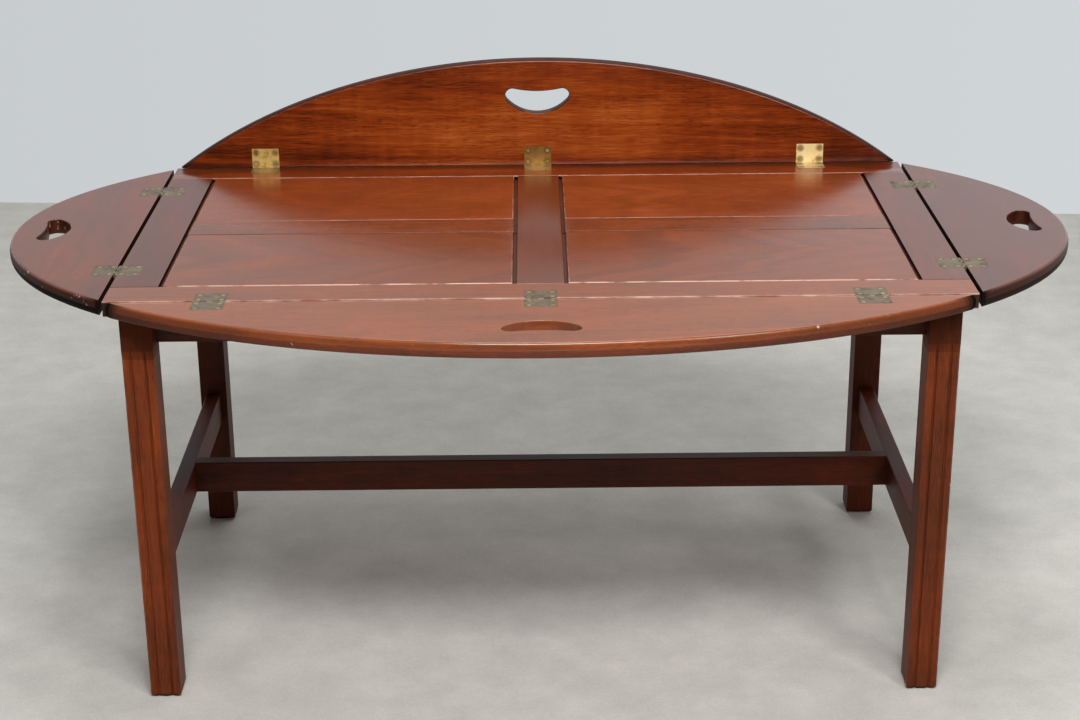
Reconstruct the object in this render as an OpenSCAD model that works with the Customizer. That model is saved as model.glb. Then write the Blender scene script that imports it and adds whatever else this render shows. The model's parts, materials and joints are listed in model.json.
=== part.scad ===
// Butler tray table: a framed and panelled tray with four hinged leaves, which lie flat as an oval.
// Origin on the floor under the middle of the table, X along its length, Y to the rear, Z up, millimetres.
// The rear leaf stands upright and the other three lie flat.

/* [Tray] */
// Height of the tray's top above the floor
table_h = 445; // [400:5:560]
// Length of the tray
tray_l = 864; // [800:4:920]
// Width of the tray
tray_w = 496; // [460:4:540]
// Thickness of the tray's frame and of the leaves
board_t = 16; // [15:1:20]
// Width of the front and rear rails
rail_w = 46; // [40:1:56]
// Width of the end stiles
end_stile_w = 48; // [40:1:60]
// Width of the centre stile
centre_stile_w = 48; // [40:1:60]
// Width of the mid rails
mid_rail_w = 48; // [40:1:60]
// Thickness of the panels
panel_t = 10; // [9:0.5:11]
// Thickness of the tongues and stub tenons that sit in the frame's grooves
tongue_t = 5; // [4:0.5:6]
// Length of the tongues and stub tenons
tongue_l = 8; // [6:0.5:10]
// Open groove between a panel and the stiles beside it
quirk_w = 4; // [2:0.5:6]
// Joint line between a panel and the rails beside it
panel_line = 0.5; // [0.2:0.1:1]
// Length of rail left solid at the ends of its groove
groove_stop = 10; // [6:1:16]

/* [Leaves] */
// Depth of the long leaves at their middle
side_leaf_d = 128; // [116:1:140]
// Depth of the end leaves at their middle
end_leaf_d = 136; // [124:1:150]
// Gap between the tray and a flat leaf, in which the hinge barrels lie
leaf_gap = 4; // [3.8:0.1:5]
// How far the rounded rim falls back at its top and bottom
rim_round = 5; // [3:0.5:7]
// Length of a finger hole
hole_l = 76; // [66:1:86]
// Width of a finger hole
hole_w = 30; // [26:1:34]
// Radius of a finger hole's ends
hole_end_r = 8.5; // [7:0.5:9.5]
// Dip in the rim side of a finger hole
hole_dip = 3.2; // [2:0.2:5]
// Wood between a long leaf's finger hole and its rim
side_hole_rim = 35; // [28:1:42]
// Wood between an end leaf's finger hole and its rim
end_hole_rim = 30; // [26:1:40]

/* [Hinges] */
// Width of a hinge along its pin
hinge_w = 32; // [28:1:36]
// Reach of a hinge plate from the pin
plate_l = 25; // [23:1:28]
// Thickness of the hinge plates, and radius of their barrel
plate_t = 1.8; // [1.5:0.1:1.8]
// Corner radius of the hinge plates
plate_corner_r = 1; // [0.5:0.5:4]
// Radius of a hinge pin
pin_r = 0.8; // [0.6:0.1:1]
// Distance of the outer hinges on the long sides from the tray's ends
side_hinge_in = 106; // [90:1:120]
// Distance of the hinges on the ends from the tray's sides
end_hinge_in = 100; // [90:1:120]
// Screws: distance of the two columns from the middle of the plate
screw_side = 11.5; // [9:0.5:12]
// Screws: distance of the first row from the pin
screw_near = 6.3; // [5.8:0.1:8]
// Screws: distance of the second row from the pin
screw_far = 20; // [17:0.5:21]
// Radius of a hinge screw's head
screw_head_r = 2.4; // [2:0.1:2.6]
// Radius of a hinge screw's shank
screw_r = 1.2; // [1:0.1:1.4]
// Length of a hinge screw
screw_l = 10; // [8:1:11]
// Thickness of a detent strip
detent_t = 0.5; // [0.4:0.1:0.8]
// Width of a detent strip
detent_w = 6; // [4:0.5:8]
// Length of a detent strip
detent_l = 16; // [12:1:18]

/* [Base] */
// How far the tray's ends reach past the legs
end_overhang = 14; // [4:1:30]
// How far the tray's sides reach past the legs
side_overhang = 3.5; // [1:0.5:12]
// Leg section along the table
leg_x = 32; // [30:1:40]
// Leg section across the table
leg_y = 36; // [32:1:44]
// Half the spacing of the two bead grooves on a leg's outer face
bead_side = 7.4; // [5:0.2:9]
// Radius of a bead groove
bead_r = 1.5; // [1:0.1:2.4]
// Length over which a bead groove runs out at its top
bead_run = 3; // [1:0.5:8]
// Distance of a bead groove's top below the apron
bead_below = 2.5; // [0:0.5:20]
// Chamfer of a leg's outer edge along its grooves
leg_ease = 2; // [1:0.5:3]
// Chamfer around a leg's foot
foot_ease = 2; // [1:0.5:4]
// Height of the aprons
apron_h = 35; // [30:1:60]
// Thickness of the aprons
apron_t = 16; // [14:1:18]
// Height of the stretchers
stretcher_h = 36; // [28:1:50]
// Thickness of the stretchers
stretcher_t = 17; // [14:1:20]
// Height of the stretchers' underside above the floor
stretcher_z = 134; // [80:2:200]
// Thickness of the base's tenons
tenon_t = 8; // [6:0.5:9]
// Length of the aprons' and side stretchers' tenons
tenon_l = 16; // [12:1:18]
// Length of the centre stretcher's tenons
short_tenon_l = 10; // [6:1:12]
// Shoulder above, between and below the tenons
tenon_shoulder = 4; // [2:0.5:6]

/* [Corner blocks, dowels and glides] */
// Length of a corner block along each apron
block_l = 50; // [44:1:70]
// Height of a corner block
block_h = 25; // [22:1:28]
// Drop of the corner blocks below the aprons' top
block_drop = 5; // [1:1:5]
// Distance of a corner block's screws from the corner
block_screw_in = 15; // [13:1:17]
// Height of a screw above the corner block's underside, or of the other one below its top
block_screw_edge = 7.5; // [6.5:0.5:8]
// Wood under the head of a corner block's screw
block_screw_seat = 20; // [16:1:24]
// How far a corner block's screw reaches into the apron
block_screw_bite = 12; // [8:1:13]
// Radius of a corner block screw's shank
block_screw_r = 2; // [1.5:0.1:2.5]
// Radius of a corner block screw's head
block_screw_head_r = 4; // [3.5:0.1:4.5]
// Height of a corner block screw's head
block_screw_head_h = 2.5; // [2:0.1:3]
// Radius of a locating dowel
dowel_r = 4; // [3:0.25:4.25]
// Distance of a locating dowel's axis from the leg's outer faces
dowel_in = 13; // [10:0.5:13]
// Depth of a locating dowel in its leg
dowel_deep = 14; // [10:1:14]
// Height of a locating dowel above its leg
dowel_up = 7; // [5:1:8]
// Height of a glide under a foot
glide_h = 2; // [2:0.5:5]
// Radius of a glide
glide_r = 10; // [8:0.5:12]
// Radius of a glide's nail
nail_r = 1.2; // [1:0.1:1.6]
// Length of a glide's nail
nail_l = 14; // [10:1:20]

/* [Clearances] */
// Around a tenon, tongue or inlaid plate
wood_play = 0.15; // [0.1:0.05:0.3]
// Beyond the end of a tenon, tongue, dowel, nail or screw
end_play = 1; // [0.5:0.25:1.5]
// Around a hinge pin in its barrel
pin_play = 0.05; // [0.03:0.01:0.08]
// Between two knuckles of a barrel
knuckle_play = 0.2; // [0.1:0.05:0.4]
// Around a screw, nail or dowel in its own hole
screw_play = 0.05; // [0.02:0.01:0.1]
// Around a locating dowel under the loose tray
dowel_play = 1; // [0.5:0.25:1.5]

/* [Hidden] */
// Radius at which a bead groove stops
bead_tip_r = 0.3;
// Height of the slices that a rounded rim is drawn through
slice_h = 0.4;
// A cut runs this far past the face that it opens
past = 1;
round_fn = 32;
screw_fn = 24;
rim_steps = 40;
nose_steps = 6;
arc_steps = 12;
knuckles = 5;

tray_bottom = table_h - board_t;
tray_x = tray_l / 2;
tray_y = tray_w / 2;
oval_x = tray_x + leaf_gap + end_leaf_d;
oval_y = tray_y + leaf_gap + side_leaf_d;

// The pins lie in the middle of the gap, with the barrel's top flush with the boards.
pin_x = tray_x + leaf_gap / 2;
pin_y = tray_y + leaf_gap / 2;
pin_z = table_h - plate_t;
board_below = board_t - plate_t;
knuckle_w = hinge_w / knuckles;

tongue_z = table_h - panel_t;
groove_l = tongue_l + end_play;
groove_z = [tongue_z - wood_play, tongue_z + tongue_t + wood_play];
opening_y0 = mid_rail_w / 2;
opening_y1 = tray_y - rail_w;
opening_x0 = centre_stile_w / 2;
opening_x1 = tray_x - end_stile_w;

base_x = tray_x - end_overhang;
base_y = tray_y - side_overhang;
inner_x = base_x - leg_x;
inner_y = base_y - leg_y;
apron_z = tray_bottom - apron_h;
// The tenons of the long aprons lie low and those of the end aprons high, so that they pass each other
apron_tenon_h = (apron_h - 3 * tenon_shoulder) / 2;
long_tenon_z = apron_z + tenon_shoulder + apron_tenon_h / 2;
end_tenon_z = tray_bottom - tenon_shoulder - apron_tenon_h / 2;
bead_top = apron_z - bead_below;
stretcher_x = base_x - leg_x / 2;
stretcher_tenon_h = stretcher_h - 2 * tenon_shoulder;
block_z = tray_bottom - block_drop - block_h;
block_screw_z = [block_z + block_screw_edge, block_z + block_h - block_screw_edge];

FRONT = "front";
REAR = "rear";
LEFT = "left";
RIGHT = "right";

// Each hinge as [name, side, place along the pin line]
outer_hinge = tray_x - side_hinge_in;
end_hinge = tray_y - end_hinge_in;
HINGES = [
    ["front_left", FRONT, -outer_hinge],
    ["front_centre", FRONT, 0],
    ["front_right", FRONT, outer_hinge],
    ["rear_left", REAR, -outer_hinge],
    ["rear_centre", REAR, 0],
    ["rear_right", REAR, outer_hinge],
    ["left_front", LEFT, -end_hinge],
    ["left_rear", LEFT, end_hinge],
    ["right_front", RIGHT, -end_hinge],
    ["right_rear", RIGHT, end_hinge]
];
SIDES = [FRONT, REAR, LEFT, RIGHT];
// Each corner as [name, X side, Y side]
CORNERS = [
    ["front_left", -1, -1],
    ["front_right", 1, -1],
    ["rear_left", -1, 1],
    ["rear_right", 1, 1]
];

// Shared shapes

// Turns the X axis into a side's pin line, with Y pointing away from the tray and Z = 0 at the pin
module at_side(side) {
    turn = side == FRONT ? 180 : side == REAR ? 0 : side == LEFT ? 90 : -90;
    reach = side == FRONT || side == REAR ? pin_y : pin_x;
    rotate([0, 0, turn]) translate([0, reach, pin_z]) children();
}

// What moves with a leaf: the rear leaf stands upright
module on_leaf(side) {
    at_side(side) rotate([side == REAR ? 90 : 0, 0, 0]) children();
}

// A hinge's place along the X axis of at_side
function along(hinge) = hinge[1] == FRONT || hinge[1] == RIGHT ? -hinge[2] : hinge[2];

// Mirrors a shape of the rear right corner into another corner
module to_corner(x_side, y_side) {
    mirror([x_side < 0 ? 1 : 0, 0, 0]) mirror([0, y_side < 0 ? 1 : 0, 0]) children();
}

module at_corners() {
    for (c = CORNERS) to_corner(c[1], c[2]) children();
}

module corner_box(x0, x1, y0, y1, z0, z1) {
    translate([x0, y0, z0]) cube([x1 - x0, y1 - y0, z1 - z0]);
}

// The two screw columns and two screw rows of a hinge plate that reaches along +Y
module at_plate_screws() {
    for (x = [-screw_side, screw_side], y = [screw_near, screw_far]) translate([x, y, plate_t]) children();
}

// A plate from y0 outwards whose two outer corners are round, from Z = 0 up
module inlay(half_w, y0, y1, h, corner_r) {
    linear_extrude(h) {
        translate([-half_w, y0]) square([2 * half_w, y1 - corner_r - y0]);
        translate([corner_r - half_w, y0]) square([2 * (half_w - corner_r), y1 - y0]);
        for (s = [-1, 1])
            translate([s * (half_w - corner_r), y1 - corner_r]) circle(corner_r, $fn = round_fn);
    }
}

// Base

// A tenon box grown by play on its four long sides
module tenon(size, at, play = 0) {
    translate(at - [size[0] / 2, size[1] / 2, size[2] / 2]) {
        translate([-play, -play, -play]) cube(size + 2 * [play, play, play]);
    }
}

module corner_mortises() {
    deep = tenon_l + end_play;
    tenon([2 * deep, tenon_t, apron_tenon_h], [inner_x, inner_y + apron_t / 2, long_tenon_z], wood_play);
    tenon([tenon_t, 2 * deep, apron_tenon_h], [inner_x + apron_t / 2, inner_y, end_tenon_z], wood_play);
    tenon([tenon_t, 2 * deep, stretcher_tenon_h],
        [stretcher_x, inner_y, stretcher_z + stretcher_h / 2], wood_play);
}

// The rear right leg; the others are its mirror images
module leg_shape() {
    edge_diagonal = leg_ease * sqrt(2);
    difference() {
        union() {
            corner_box(inner_x, base_x, inner_y, base_y, glide_h + foot_ease, tray_bottom);
            foot();
        }
        corner_mortises();
        for (s = [-1, 1]) {
            translate([inner_x + leg_x / 2 + s * bead_side, base_y, 0]) bead_groove();
            translate([base_x, inner_y + leg_y / 2 + s * bead_side, 0]) bead_groove();
        }
        // Outer edge, eased as far up as the grooves run
        translate([base_x, base_y, glide_h - past]) rotate([0, 0, 45])
            translate([-edge_diagonal / 2, -edge_diagonal / 2, 0])
                cube([edge_diagonal, edge_diagonal, bead_top - glide_h + past]);
        // Hole for the glide's nail
        translate([inner_x + leg_x / 2, inner_y + leg_y / 2, 0])
            cylinder(r = nail_r + screw_play, h = glide_h + nail_l + end_play, $fn = screw_fn);
        // Hole for the locating dowel
        translate([base_x - dowel_in, base_y - dowel_in, tray_bottom - dowel_deep - end_play])
            cylinder(r = dowel_r + screw_play, h = dowel_deep + end_play + past, $fn = round_fn);
    }
}

// The eased lower end of a leg
module foot() {
    hull() {
        corner_box(inner_x + foot_ease, base_x - foot_ease, inner_y + foot_ease, base_y - foot_ease,
            glide_h, glide_h + foot_ease);
        corner_box(inner_x, base_x, inner_y, base_y, glide_h + foot_ease, glide_h + 2 * foot_ease);
    }
}

// A round-bottomed groove from the foot up, which runs out at its top
module bead_groove() {
    cylinder(r = bead_r, h = bead_top - bead_run, $fn = screw_fn);
    translate([0, 0, bead_top - bead_run])
        cylinder(r1 = bead_r, r2 = bead_tip_r, h = bead_run, $fn = screw_fn);
}

module leg(x_side, y_side) {
    color("saddlebrown") to_corner(x_side, y_side) leg_shape();
}

// Screw holes of the corner blocks, through the aprons' inner faces
module apron_screw_holes(along_x) {
    hole_r = block_screw_r + screw_play;
    deep = block_screw_bite + end_play;
    for (s = [-1, 1]) {
        if (along_x) {
            translate([s * (inner_x - block_screw_in), inner_y - past, block_screw_z[0]])
                rotate([-90, 0, 0]) cylinder(r = hole_r, h = deep + past, $fn = screw_fn);
        } else {
            translate([inner_x - past, s * (inner_y - block_screw_in), block_screw_z[1]])
                rotate([0, 90, 0]) cylinder(r = hole_r, h = deep + past, $fn = screw_fn);
        }
    }
}

module long_apron_shape() {
    color("saddlebrown") difference() {
        union() {
            corner_box(-inner_x, inner_x, inner_y, inner_y + apron_t, apron_z, tray_bottom);
            tenon([2 * (inner_x + tenon_l), tenon_t, apron_tenon_h],
                [0, inner_y + apron_t / 2, long_tenon_z]);
        }
        apron_screw_holes(true);
    }
}

module end_apron_shape() {
    color("saddlebrown") difference() {
        union() {
            corner_box(inner_x, inner_x + apron_t, -inner_y, inner_y, apron_z, tray_bottom);
            tenon([tenon_t, 2 * (inner_y + tenon_l), apron_tenon_h],
                [inner_x + apron_t / 2, 0, end_tenon_z]);
        }
        apron_screw_holes(false);
    }
}

module apron(side) {
    if (side == REAR) long_apron_shape();
    if (side == FRONT) mirror([0, 1, 0]) long_apron_shape();
    if (side == RIGHT) end_apron_shape();
    if (side == LEFT) mirror([1, 0, 0]) end_apron_shape();
}

module centre_tenon(play, deep) {
    reach = stretcher_x - stretcher_t / 2 + deep;
    tenon([2 * reach, tenon_t, stretcher_tenon_h], [0, 0, stretcher_z + stretcher_h / 2], play);
}

module side_stretcher(x_side) {
    half_t = stretcher_t / 2;
    color("sienna") to_corner(x_side, 1) difference() {
        union() {
            corner_box(stretcher_x - half_t, stretcher_x + half_t, -inner_y, inner_y,
                stretcher_z, stretcher_z + stretcher_h);
            tenon([tenon_t, 2 * (inner_y + tenon_l), stretcher_tenon_h],
                [stretcher_x, 0, stretcher_z + stretcher_h / 2]);
        }
        centre_tenon(wood_play, short_tenon_l + end_play);
    }
}

module stretcher_centre() {
    reach = stretcher_x - stretcher_t / 2;
    color("sienna") {
        corner_box(-reach, reach, -stretcher_t / 2, stretcher_t / 2,
            stretcher_z, stretcher_z + stretcher_h);
        centre_tenon(0, short_tenon_l);
    }
}

// The screw of a corner block, from its head's seat towards +Z
module block_screw() {
    cylinder(r = block_screw_r, h = block_screw_seat + block_screw_bite, $fn = screw_fn);
    translate([0, 0, -block_screw_head_h])
        cylinder(r = block_screw_head_r, h = block_screw_head_h, $fn = screw_fn);
}

// The two screws of the rear right corner block, each placed with its head on its seat
module at_block_screws() {
    translate([inner_x - block_screw_in, inner_y - block_screw_seat, block_screw_z[0]])
        rotate([-90, 0, 0]) children();
    translate([inner_x - block_screw_seat, inner_y - block_screw_in, block_screw_z[1]])
        rotate([0, 90, 0]) children();
}

module corner_block_shape() {
    difference() {
        translate([inner_x, inner_y, block_z])
            linear_extrude(block_h) polygon([[0, 0], [-block_l, 0], [0, -block_l]]);
        at_block_screws() {
            translate([0, 0, -past]) cylinder(r = block_screw_r + screw_play, h = block_l, $fn = screw_fn);
            translate([0, 0, -block_l])
                cylinder(r = block_screw_head_r + end_play, h = block_l, $fn = screw_fn);
        }
    }
}

module corner_blocks() {
    color("peru") at_corners() corner_block_shape();
}

module corner_screws() {
    color("silver") at_corners() at_block_screws() block_screw();
}

module foot_glides() {
    color("dimgray") at_corners() translate([inner_x + leg_x / 2, inner_y + leg_y / 2, 0]) {
        cylinder(r = glide_r, h = glide_h, $fn = round_fn);
        cylinder(r = nail_r, h = glide_h + nail_l, $fn = screw_fn);
    }
}

module locating_dowels() {
    color("burlywood") at_corners()
        translate([base_x - dowel_in, base_y - dowel_in, tray_bottom - dowel_deep])
            cylinder(r = dowel_r, h = dowel_deep + dowel_up, $fn = round_fn);
}

// Tray

// Recesses for the hinges along one side of the tray, with pilot holes and detent pockets
module tray_hinge_cuts(side) {
    for (h = HINGES) if (h[1] == side) at_side(h[1]) translate([along(h), 0, 0]) mirror([0, 1, 0]) {
        inlay(hinge_w / 2 + wood_play, 0, plate_l + wood_play, plate_t + past, plate_corner_r);
        translate([-detent_w / 2 - wood_play, 0, -detent_t])
            cube([detent_w + 2 * wood_play, leaf_gap / 2 + detent_l + wood_play, detent_t + past]);
        at_plate_screws() translate([0, 0, -screw_l - end_play])
            cylinder(r = screw_r + screw_play, h = screw_l + end_play, $fn = screw_fn);
    }
}

module rail_shape() {
    difference() {
        corner_box(-tray_x, tray_x, opening_y1, tray_y, tray_bottom, table_h);
        corner_box(groove_stop - tray_x - wood_play, tray_x - groove_stop + wood_play,
            opening_y1 - past, opening_y1 + groove_l, groove_z[0], groove_z[1]);
        for (s = [-1, 1]) translate([s * (base_x - dowel_in), base_y - dowel_in, tray_bottom - past])
            cylinder(r = dowel_r + dowel_play, h = dowel_up + end_play + past, $fn = round_fn);
        tray_hinge_cuts(REAR);
    }
}

module rail(side) {
    color("sienna") {
        if (side == REAR) rail_shape();
        if (side == FRONT) mirror([0, 1, 0]) rail_shape();
    }
}

module end_stile_shape() {
    difference() {
        union() {
            corner_box(opening_x1, tray_x, -opening_y1, opening_y1, tray_bottom, table_h);
            corner_box(opening_x1, tray_x - groove_stop, -opening_y1 - tongue_l, opening_y1 + tongue_l,
                tongue_z, tongue_z + tongue_t);
        }
        corner_box(opening_x1 - past, opening_x1 + groove_l,
            -opening_y1 - tongue_l - past, opening_y1 + tongue_l + past, groove_z[0], groove_z[1]);
        tray_hinge_cuts(RIGHT);
    }
}

module end_stile(x_side) {
    color("sienna") to_corner(x_side, 1) end_stile_shape();
}

module stile_centre() {
    color("sienna") difference() {
        union() {
            corner_box(-opening_x0, opening_x0, -opening_y1, opening_y1, tray_bottom, table_h);
            corner_box(-opening_x0, opening_x0, -opening_y1 - tongue_l, opening_y1 + tongue_l,
                tongue_z, tongue_z + tongue_t);
        }
        for (s = [0, 1]) mirror([s, 0, 0]) corner_box(opening_x0 - groove_l, opening_x0 + past,
            -opening_y1 - tongue_l - past, opening_y1 + tongue_l + past, groove_z[0], groove_z[1]);
    }
}

module mid_rail_shape() {
    difference() {
        union() {
            corner_box(opening_x0, opening_x1, -opening_y0, opening_y0, tray_bottom, table_h);
            corner_box(opening_x0 - tongue_l, opening_x1 + tongue_l, -opening_y0, opening_y0,
                tongue_z, tongue_z + tongue_t);
        }
        for (s = [0, 1]) mirror([0, s, 0])
            corner_box(opening_x0 - tongue_l - past, opening_x1 + tongue_l + past,
                opening_y0 - groove_l, opening_y0 + past, groove_z[0], groove_z[1]);
        // The open groove along the stiles crosses its ends
        for (x = [[opening_x0 - past, opening_x0 + quirk_w], [opening_x1 - quirk_w, opening_x1 + past]])
            corner_box(x[0], x[1], -opening_y0 - past, opening_y0 + past,
                tongue_z + tongue_t, table_h + past);
    }
}

module mid_rail(x_side) {
    color("sienna") to_corner(x_side, 1) mid_rail_shape();
}

module panel_shape() {
    corner_box(opening_x0 + quirk_w, opening_x1 - quirk_w, opening_y0 + panel_line, opening_y1 - panel_line,
        tongue_z, table_h);
    corner_box(opening_x0 - tongue_l, opening_x1 + tongue_l, opening_y0 - tongue_l, opening_y1 + tongue_l,
        tongue_z, tongue_z + tongue_t);
}

module panel(x_side, y_side) {
    color("chocolate") to_corner(x_side, y_side) panel_shape();
}

// Leaves

function is_long(side) = side == FRONT || side == REAR;

// The rim seen from above: the oval, drawn in by inset and cut off at the leaf's straight edge.
// The half axis along the pin line is a and the one away from the tray is b, and the oval's centre lies
// off behind.
function rim(a, b, off, inset) =
    let (t0 = asin((off + leaf_gap / 2) / (b - inset)))
    [for (i = [0:rim_steps])
        let (t = t0 + (180 - 2 * t0) * i / rim_steps)
        [(a - inset) * cos(t), (b - inset) * sin(t) - off]];

module leaf_blank(side) {
    a = is_long(side) ? oval_x : oval_y;
    b = is_long(side) ? oval_y : oval_x;
    off = is_long(side) ? pin_y : pin_x;
    middle = (plate_t - board_below) / 2;
    hull() for (i = [0:nose_steps]) {
        turn = -90 + 180 * i / nose_steps;
        z = middle + (board_t - slice_h) / 2 * sin(turn) - slice_h / 2;
        translate([0, 0, z]) linear_extrude(slice_h) polygon(rim(a, b, off, rim_round * (1 - cos(turn))));
    }
}

function arc(centre, r, from, to) =
    [for (i = [0:arc_steps - 1]) let (t = from + (to - from) * i / arc_steps) centre + r * [cos(t), sin(t)]];

// A kidney with its dip towards +Y: two round ends at Y = 0, a bellied side and a dipped side, each arc
// running smoothly into the next
module finger_hole_outline() {
    half = hole_l / 2 - hole_end_r;
    belly = hole_w - 2 * hole_end_r;
    belly_y = (half * half - belly * belly) / (2 * belly);
    belly_turn = atan(half / belly_y);
    dip_y = (half * half - hole_dip * hole_dip) / (2 * hole_dip);
    dip_turn = atan(half / dip_y);
    polygon(concat(
        arc([half, 0], hole_end_r, belly_turn - 90, 90 + dip_turn),
        arc([0, dip_y], dip_y + hole_dip - hole_end_r, dip_turn - 90, -dip_turn - 90),
        arc([-half, 0], hole_end_r, 90 - dip_turn, 270 - belly_turn),
        arc([0, belly_y], belly_y + hole_w - hole_end_r, 270 - belly_turn, 270 + belly_turn)
    ));
}

module leaf(side) {
    reach = is_long(side) ? oval_y - pin_y : oval_x - pin_x;
    hole_y = reach - (is_long(side) ? side_hole_rim : end_hole_rim) - hole_end_r;
    color("brown") on_leaf(side) difference() {
        leaf_blank(side);
        translate([0, hole_y, -board_below - past])
            linear_extrude(board_t + 2 * past) finger_hole_outline();
        for (h = HINGES) if (h[1] == side) translate([along(h), 0, 0]) {
            inlay(hinge_w / 2 + wood_play, 0, plate_l + wood_play, plate_t + past, plate_corner_r);
            at_plate_screws() translate([0, 0, -screw_l - end_play])
                cylinder(r = screw_r + screw_play, h = screw_l + end_play, $fn = screw_fn);
        }
    }
}

// Hinges

module plate_flat() {
    difference() {
        inlay(hinge_w / 2, leaf_gap / 2, plate_l, plate_t, plate_corner_r);
        at_plate_screws() plate_screw(screw_play);
    }
}

// A hinge screw with its head's top at Z = 0
module plate_screw(play = 0) {
    head_h = screw_head_r - screw_r;
    translate([0, 0, -head_h])
        cylinder(r1 = screw_r + play, r2 = screw_head_r + play, h = head_h, $fn = screw_fn);
    translate([0, 0, -screw_l]) cylinder(r = screw_r + play, h = screw_l, $fn = screw_fn);
}

// Knuckles number first, first + 2 and so on, each with the web that joins it to its plate on +Y
module knuckle_row(first) {
    difference() {
        for (i = [first:2:knuckles - 1]) {
            x0 = -hinge_w / 2 + i * knuckle_w + (i == 0 ? 0 : knuckle_play / 2);
            x1 = -hinge_w / 2 + (i + 1) * knuckle_w - (i == knuckles - 1 ? 0 : knuckle_play / 2);
            translate([x0, 0, 0]) rotate([0, 90, 0]) cylinder(r = plate_t, h = x1 - x0, $fn = round_fn);
            corner_box(x0, x1, 0, leaf_gap / 2 + past, 0, plate_t);
        }
        translate([-hinge_w / 2 - past, 0, 0]) rotate([0, 90, 0])
            cylinder(r = pin_r + pin_play, h = hinge_w + 2 * past, $fn = screw_fn);
    }
}

module tray_plate(hinge) {
    color("gold") at_side(hinge[1]) translate([along(hinge), 0, 0]) mirror([0, 1, 0]) {
        plate_flat();
        knuckle_row(0);
    }
}

module leaf_plate(hinge) {
    color("goldenrod") on_leaf(hinge[1]) translate([along(hinge), 0, 0]) {
        plate_flat();
        knuckle_row(1);
    }
}

module hinge_pins() {
    color("darkgoldenrod") for (h = HINGES) at_side(h[1]) translate([along(h) - hinge_w / 2, 0, 0])
        rotate([0, 90, 0]) cylinder(r = pin_r, h = hinge_w, $fn = screw_fn);
}

// Each strip lies under its tray plate and bears on the barrel
module detent_strips() {
    color("slategray") for (h = HINGES) at_side(h[1]) translate([along(h), 0, 0]) mirror([0, 1, 0])
        translate([-detent_w / 2, leaf_gap / 2, -detent_t]) cube([detent_w, detent_l, detent_t]);
}

module tray_plate_screws() {
    color("khaki") for (h = HINGES) at_side(h[1]) translate([along(h), 0, 0]) mirror([0, 1, 0])
        at_plate_screws() plate_screw();
}

module leaf_screws(side) {
    color("khaki") on_leaf(side) for (h = HINGES) if (h[1] == side) translate([along(h), 0, 0])
        at_plate_screws() plate_screw();
}

for (c = CORNERS) leg(c[1], c[2]);
for (s = SIDES) apron(s);
side_stretcher(-1);  // stretcher_left
side_stretcher(1);  // stretcher_right
stretcher_centre();
corner_blocks();
corner_screws();
foot_glides();
locating_dowels();
rail(FRONT);  // rail_front
rail(REAR);  // rail_rear
end_stile(-1);  // stile_left
end_stile(1);  // stile_right
stile_centre();
mid_rail(-1);  // mid_rail_left
mid_rail(1);  // mid_rail_right
for (c = CORNERS) panel(c[1], c[2]);
for (s = SIDES) leaf(s);
for (h = HINGES) tray_plate(h);
for (h = HINGES) leaf_plate(h);
hinge_pins();
detent_strips();
tray_plate_screws();
for (s = SIDES) leaf_screws(s);
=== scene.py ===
# Butler tray table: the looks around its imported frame, in metres, with the rear leaf upright.
import json
import math
import random
from functools import partial

import bmesh
import bpy
from mathutils import Matrix, Vector


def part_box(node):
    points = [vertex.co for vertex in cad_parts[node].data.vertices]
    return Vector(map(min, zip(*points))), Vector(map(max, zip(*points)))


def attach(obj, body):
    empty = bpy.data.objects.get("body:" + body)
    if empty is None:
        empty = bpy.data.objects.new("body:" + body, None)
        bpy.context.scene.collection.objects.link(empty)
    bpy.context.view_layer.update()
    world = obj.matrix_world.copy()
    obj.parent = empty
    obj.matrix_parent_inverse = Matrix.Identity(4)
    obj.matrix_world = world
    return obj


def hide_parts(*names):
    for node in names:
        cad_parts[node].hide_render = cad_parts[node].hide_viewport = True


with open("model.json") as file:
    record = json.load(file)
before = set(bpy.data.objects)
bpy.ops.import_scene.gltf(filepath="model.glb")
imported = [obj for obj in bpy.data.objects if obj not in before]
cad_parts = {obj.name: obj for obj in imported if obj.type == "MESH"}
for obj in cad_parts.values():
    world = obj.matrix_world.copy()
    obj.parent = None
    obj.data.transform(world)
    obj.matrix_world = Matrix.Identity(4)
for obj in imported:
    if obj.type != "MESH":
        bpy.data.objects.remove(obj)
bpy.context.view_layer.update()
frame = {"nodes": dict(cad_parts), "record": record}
bodyOfNode = {n: body for body, members in frame["record"]["behaviour"]["bodies"].items() for n in members}

mm = 0.001
quarterTurn = math.pi / 2
# Points of a node's loose triangles closer than this are one point, mm
weldDistance = 0.002


# sRGB hex to the linear colour that a shader takes
def linearColour(hexText):
    parts = [int(hexText[i:i + 2], 16) / 255 for i in (1, 3, 5)]
    return [c / 12.92 if c <= 0.04045 else ((c + 0.055) / 1.055) ** 2.4 for c in parts] + [1.0]


# Fills or links a node's inputs, where another node stands for its first output
def fillInputs(node, inputs):
    for key, value in inputs.items():
        if isinstance(value, bpy.types.Node):
            value = value.outputs[0]
        if isinstance(value, bpy.types.NodeSocket):
            node.id_data.links.new(value, node.inputs[key])
        else:
            node.inputs[key].default_value = value


# Adds a node, sets its properties, fills or links its inputs and places a ramp's stops
def addNode(tree, kind, inputs=None, stops=None, **settings):
    made = tree.nodes.new(kind)
    for name, value in settings.items():
        setattr(made, name, value)
    fillInputs(made, inputs or {})
    if stops:
        ends = made.color_ramp.elements
        for end, (place, colour) in ((ends[0], stops[0]), (ends[1], stops[-1])):
            end.position = place
            end.color = linearColour(colour)
        for place, colour in stops[1:-1]:
            ends.new(place).color = linearColour(colour)
    return made


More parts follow.
